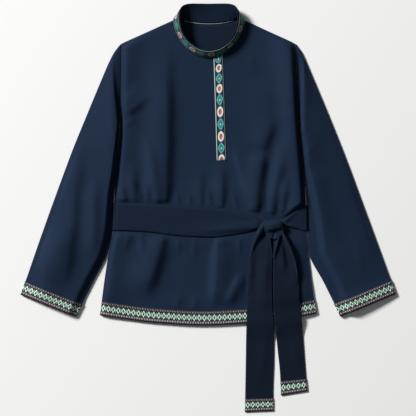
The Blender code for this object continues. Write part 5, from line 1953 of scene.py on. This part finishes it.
    def knot(self) -> bpy.types.Object:
        """The knot: a wrap of the sash over its own gathers."""
        ball = bmesh.new()
        bmesh.ops.create_uvsphere(ball, u_segments=self.knot_columns, v_segments=self.knot_rows, radius=1.0)
        places = []
        for vert in ball.verts:
            reach_x, reach_y = self.knot_outline(math.atan2(vert.co.y, vert.co.x))
            level = math.hypot(vert.co.x, vert.co.y)
            places.append((self.knot_x + reach_x * level, self.knot_y + reach_y * level))
        places = np.array(places)
        under = self.knot_underside(places[:, 0], places[:, 1])
        full = self.knot_profile(places[:, 0], places[:, 1])
        for vert, place, low, share in zip(ball.verts, places, under, full):
            top = low + self.knot_rim + self.knot_height * share * max(vert.co.z, 0.0) ** self.knot_power
            vert.co = (place[0], place[1], top if vert.co.z > -self.knot_equator else low)
        mesh = bpy.data.meshes.new("sash_knot")
        ball.to_mesh(mesh)
        ball.free()
        layer = mesh.uv_layers.new(name="Weave")
        for loop in mesh.loops:
            co = mesh.vertices[loop.vertex_index].co
            layer.data[loop.index].uv = (co.x, co.y)
        knot = plain_object("sash_knot", mesh, self.finishes.sash)
        strands = [self.strand(i, line) for i, line in enumerate(STRANDS)]
        with bpy.context.temp_override(
            active_object=knot, object=knot, selected_editable_objects=[knot, *strands]
        ):
            bpy.ops.object.join()
        return knot

    def build(self) -> None:
        """Make the ring, the ends and the knot."""
        belt = make_cloth("sash_ring", self.belt_rings(), SASH, self.finishes.sash, ring=True)
        attach(belt, "sash", "belt")
        self.tail("long", LONG_TAIL_SECTIONS)
        self.tail("short", SHORT_TAIL_SECTIONS)
        knot = attach(self.knot(), "sash", "belt_knot")


@dataclass(frozen=True)
class Studio:
    """The pale floor, the soft light and the camera straight above."""

    # Metres that one pixel of the photograph spans on the garment
    pixel: float = 0.0024
    frame_pixels: int = 416
    middle_px: tuple[float, float] = (208.0, 208.0)
    origin_px: tuple[float, float] = (208.25, 208.2)
    focal_mm: float = 100.0
    sensor_mm: float = 36.0
    clip_end: float = 50.0
    # The lens stands this much higher, so that the scale is true at the cloth's upper face
    cloth_height: float = 0.006
    floor_half: float = 6.0
    floor_drop: float = 0.0003
    floor_grey: float = 0.80
    floor_roughness: float = 0.9
    key_place: tuple[float, float, float] = (-9.3, 6.6, 6.6)
    key_size: float = 2.9
    key_power: float = 3250.0
    key_colour: tuple[float, float, float] = (1.0, 0.995, 0.98)
    room_colour: tuple[float, float, float] = (0.93, 0.97, 1.0)
    room_strength: float = 0.15

    def camera(self) -> None:
        """The camera looks straight down on the middle of the photograph's frame."""
        lens = bpy.data.cameras.new("camera")
        lens.lens = self.focal_mm
        lens.sensor_width = self.sensor_mm
        lens.clip_end = self.clip_end
        eye = add_object("camera", lens)
        span = self.pixel * self.frame_pixels
        x = (self.middle_px[0] - self.origin_px[0]) * self.pixel
        y = (self.origin_px[1] - self.middle_px[1]) * self.pixel
        eye.location = (x, y, span * self.focal_mm / self.sensor_mm + self.cloth_height)
        bpy.context.scene.camera = eye

    def floor(self) -> None:
        """The pale floor, a little below nothing so that it meets the garment's underside."""
        plate = bmesh.new()
        bmesh.ops.create_grid(plate, x_segments=1, y_segments=1, size=self.floor_half)
        mesh = bpy.data.meshes.new("floor")
        plate.to_mesh(mesh)
        plate.free()
        material, _, shader = new_material("matt_white_paper")
        shader.inputs["Base Color"].default_value = (*[self.floor_grey] * 3, 1.0)
        shader.inputs["Roughness"].default_value = self.floor_roughness
        floor = plain_object("floor", mesh, material)
        floor.location.z = -self.floor_drop

    def lamp(self) -> None:
        """The window, high on the photograph's left: a soft square lamp that faces the garment."""
        light = bpy.data.lights.new("key", "AREA")
        light.shape = "SQUARE"
        light.size = self.key_size
        light.energy = self.key_power
        light.color = self.key_colour
        item = add_object("key", light)
        place = Vector(self.key_place)
        item.location = place
        item.rotation_euler = (-place).to_track_quat("-Z", "Y").to_euler()

    def room(self) -> None:
        """The faint, cool light from all round."""
        world = bpy.data.worlds.new("room")
        world.use_nodes = True
        background = world.node_tree.nodes["Background"]
        background.inputs["Color"].default_value = (*self.room_colour, 1.0)
        background.inputs["Strength"].default_value = self.room_strength
        bpy.context.scene.world = world

    def build(self) -> None:
        """Set the scene."""
        self.camera()
        self.floor()
        self.lamp()
        self.room()
        bpy.context.scene.view_settings.view_transform = "Standard"


def main() -> None:
    """Build every piece in order."""
    logging.basicConfig(level=logging.INFO, format="%(message)s")
    lie = Lie()
    neck = NeckRing(lie)
    finishes = Finishes()
    body = Body(lie, neck, finishes)
    body.build()
    Sleeve(lie, finishes, "right", RIGHT_SLEEVE_SECTIONS, mirrored=False).build()
    Sleeve(lie, finishes, "left", LEFT_SLEEVE_SECTIONS, mirrored=True).build()
    Collar(neck, finishes).build()
    Sash(lie, finishes, body.belt_stretch).build()
    Studio().build()


if __name__ == "__main__":
    main()
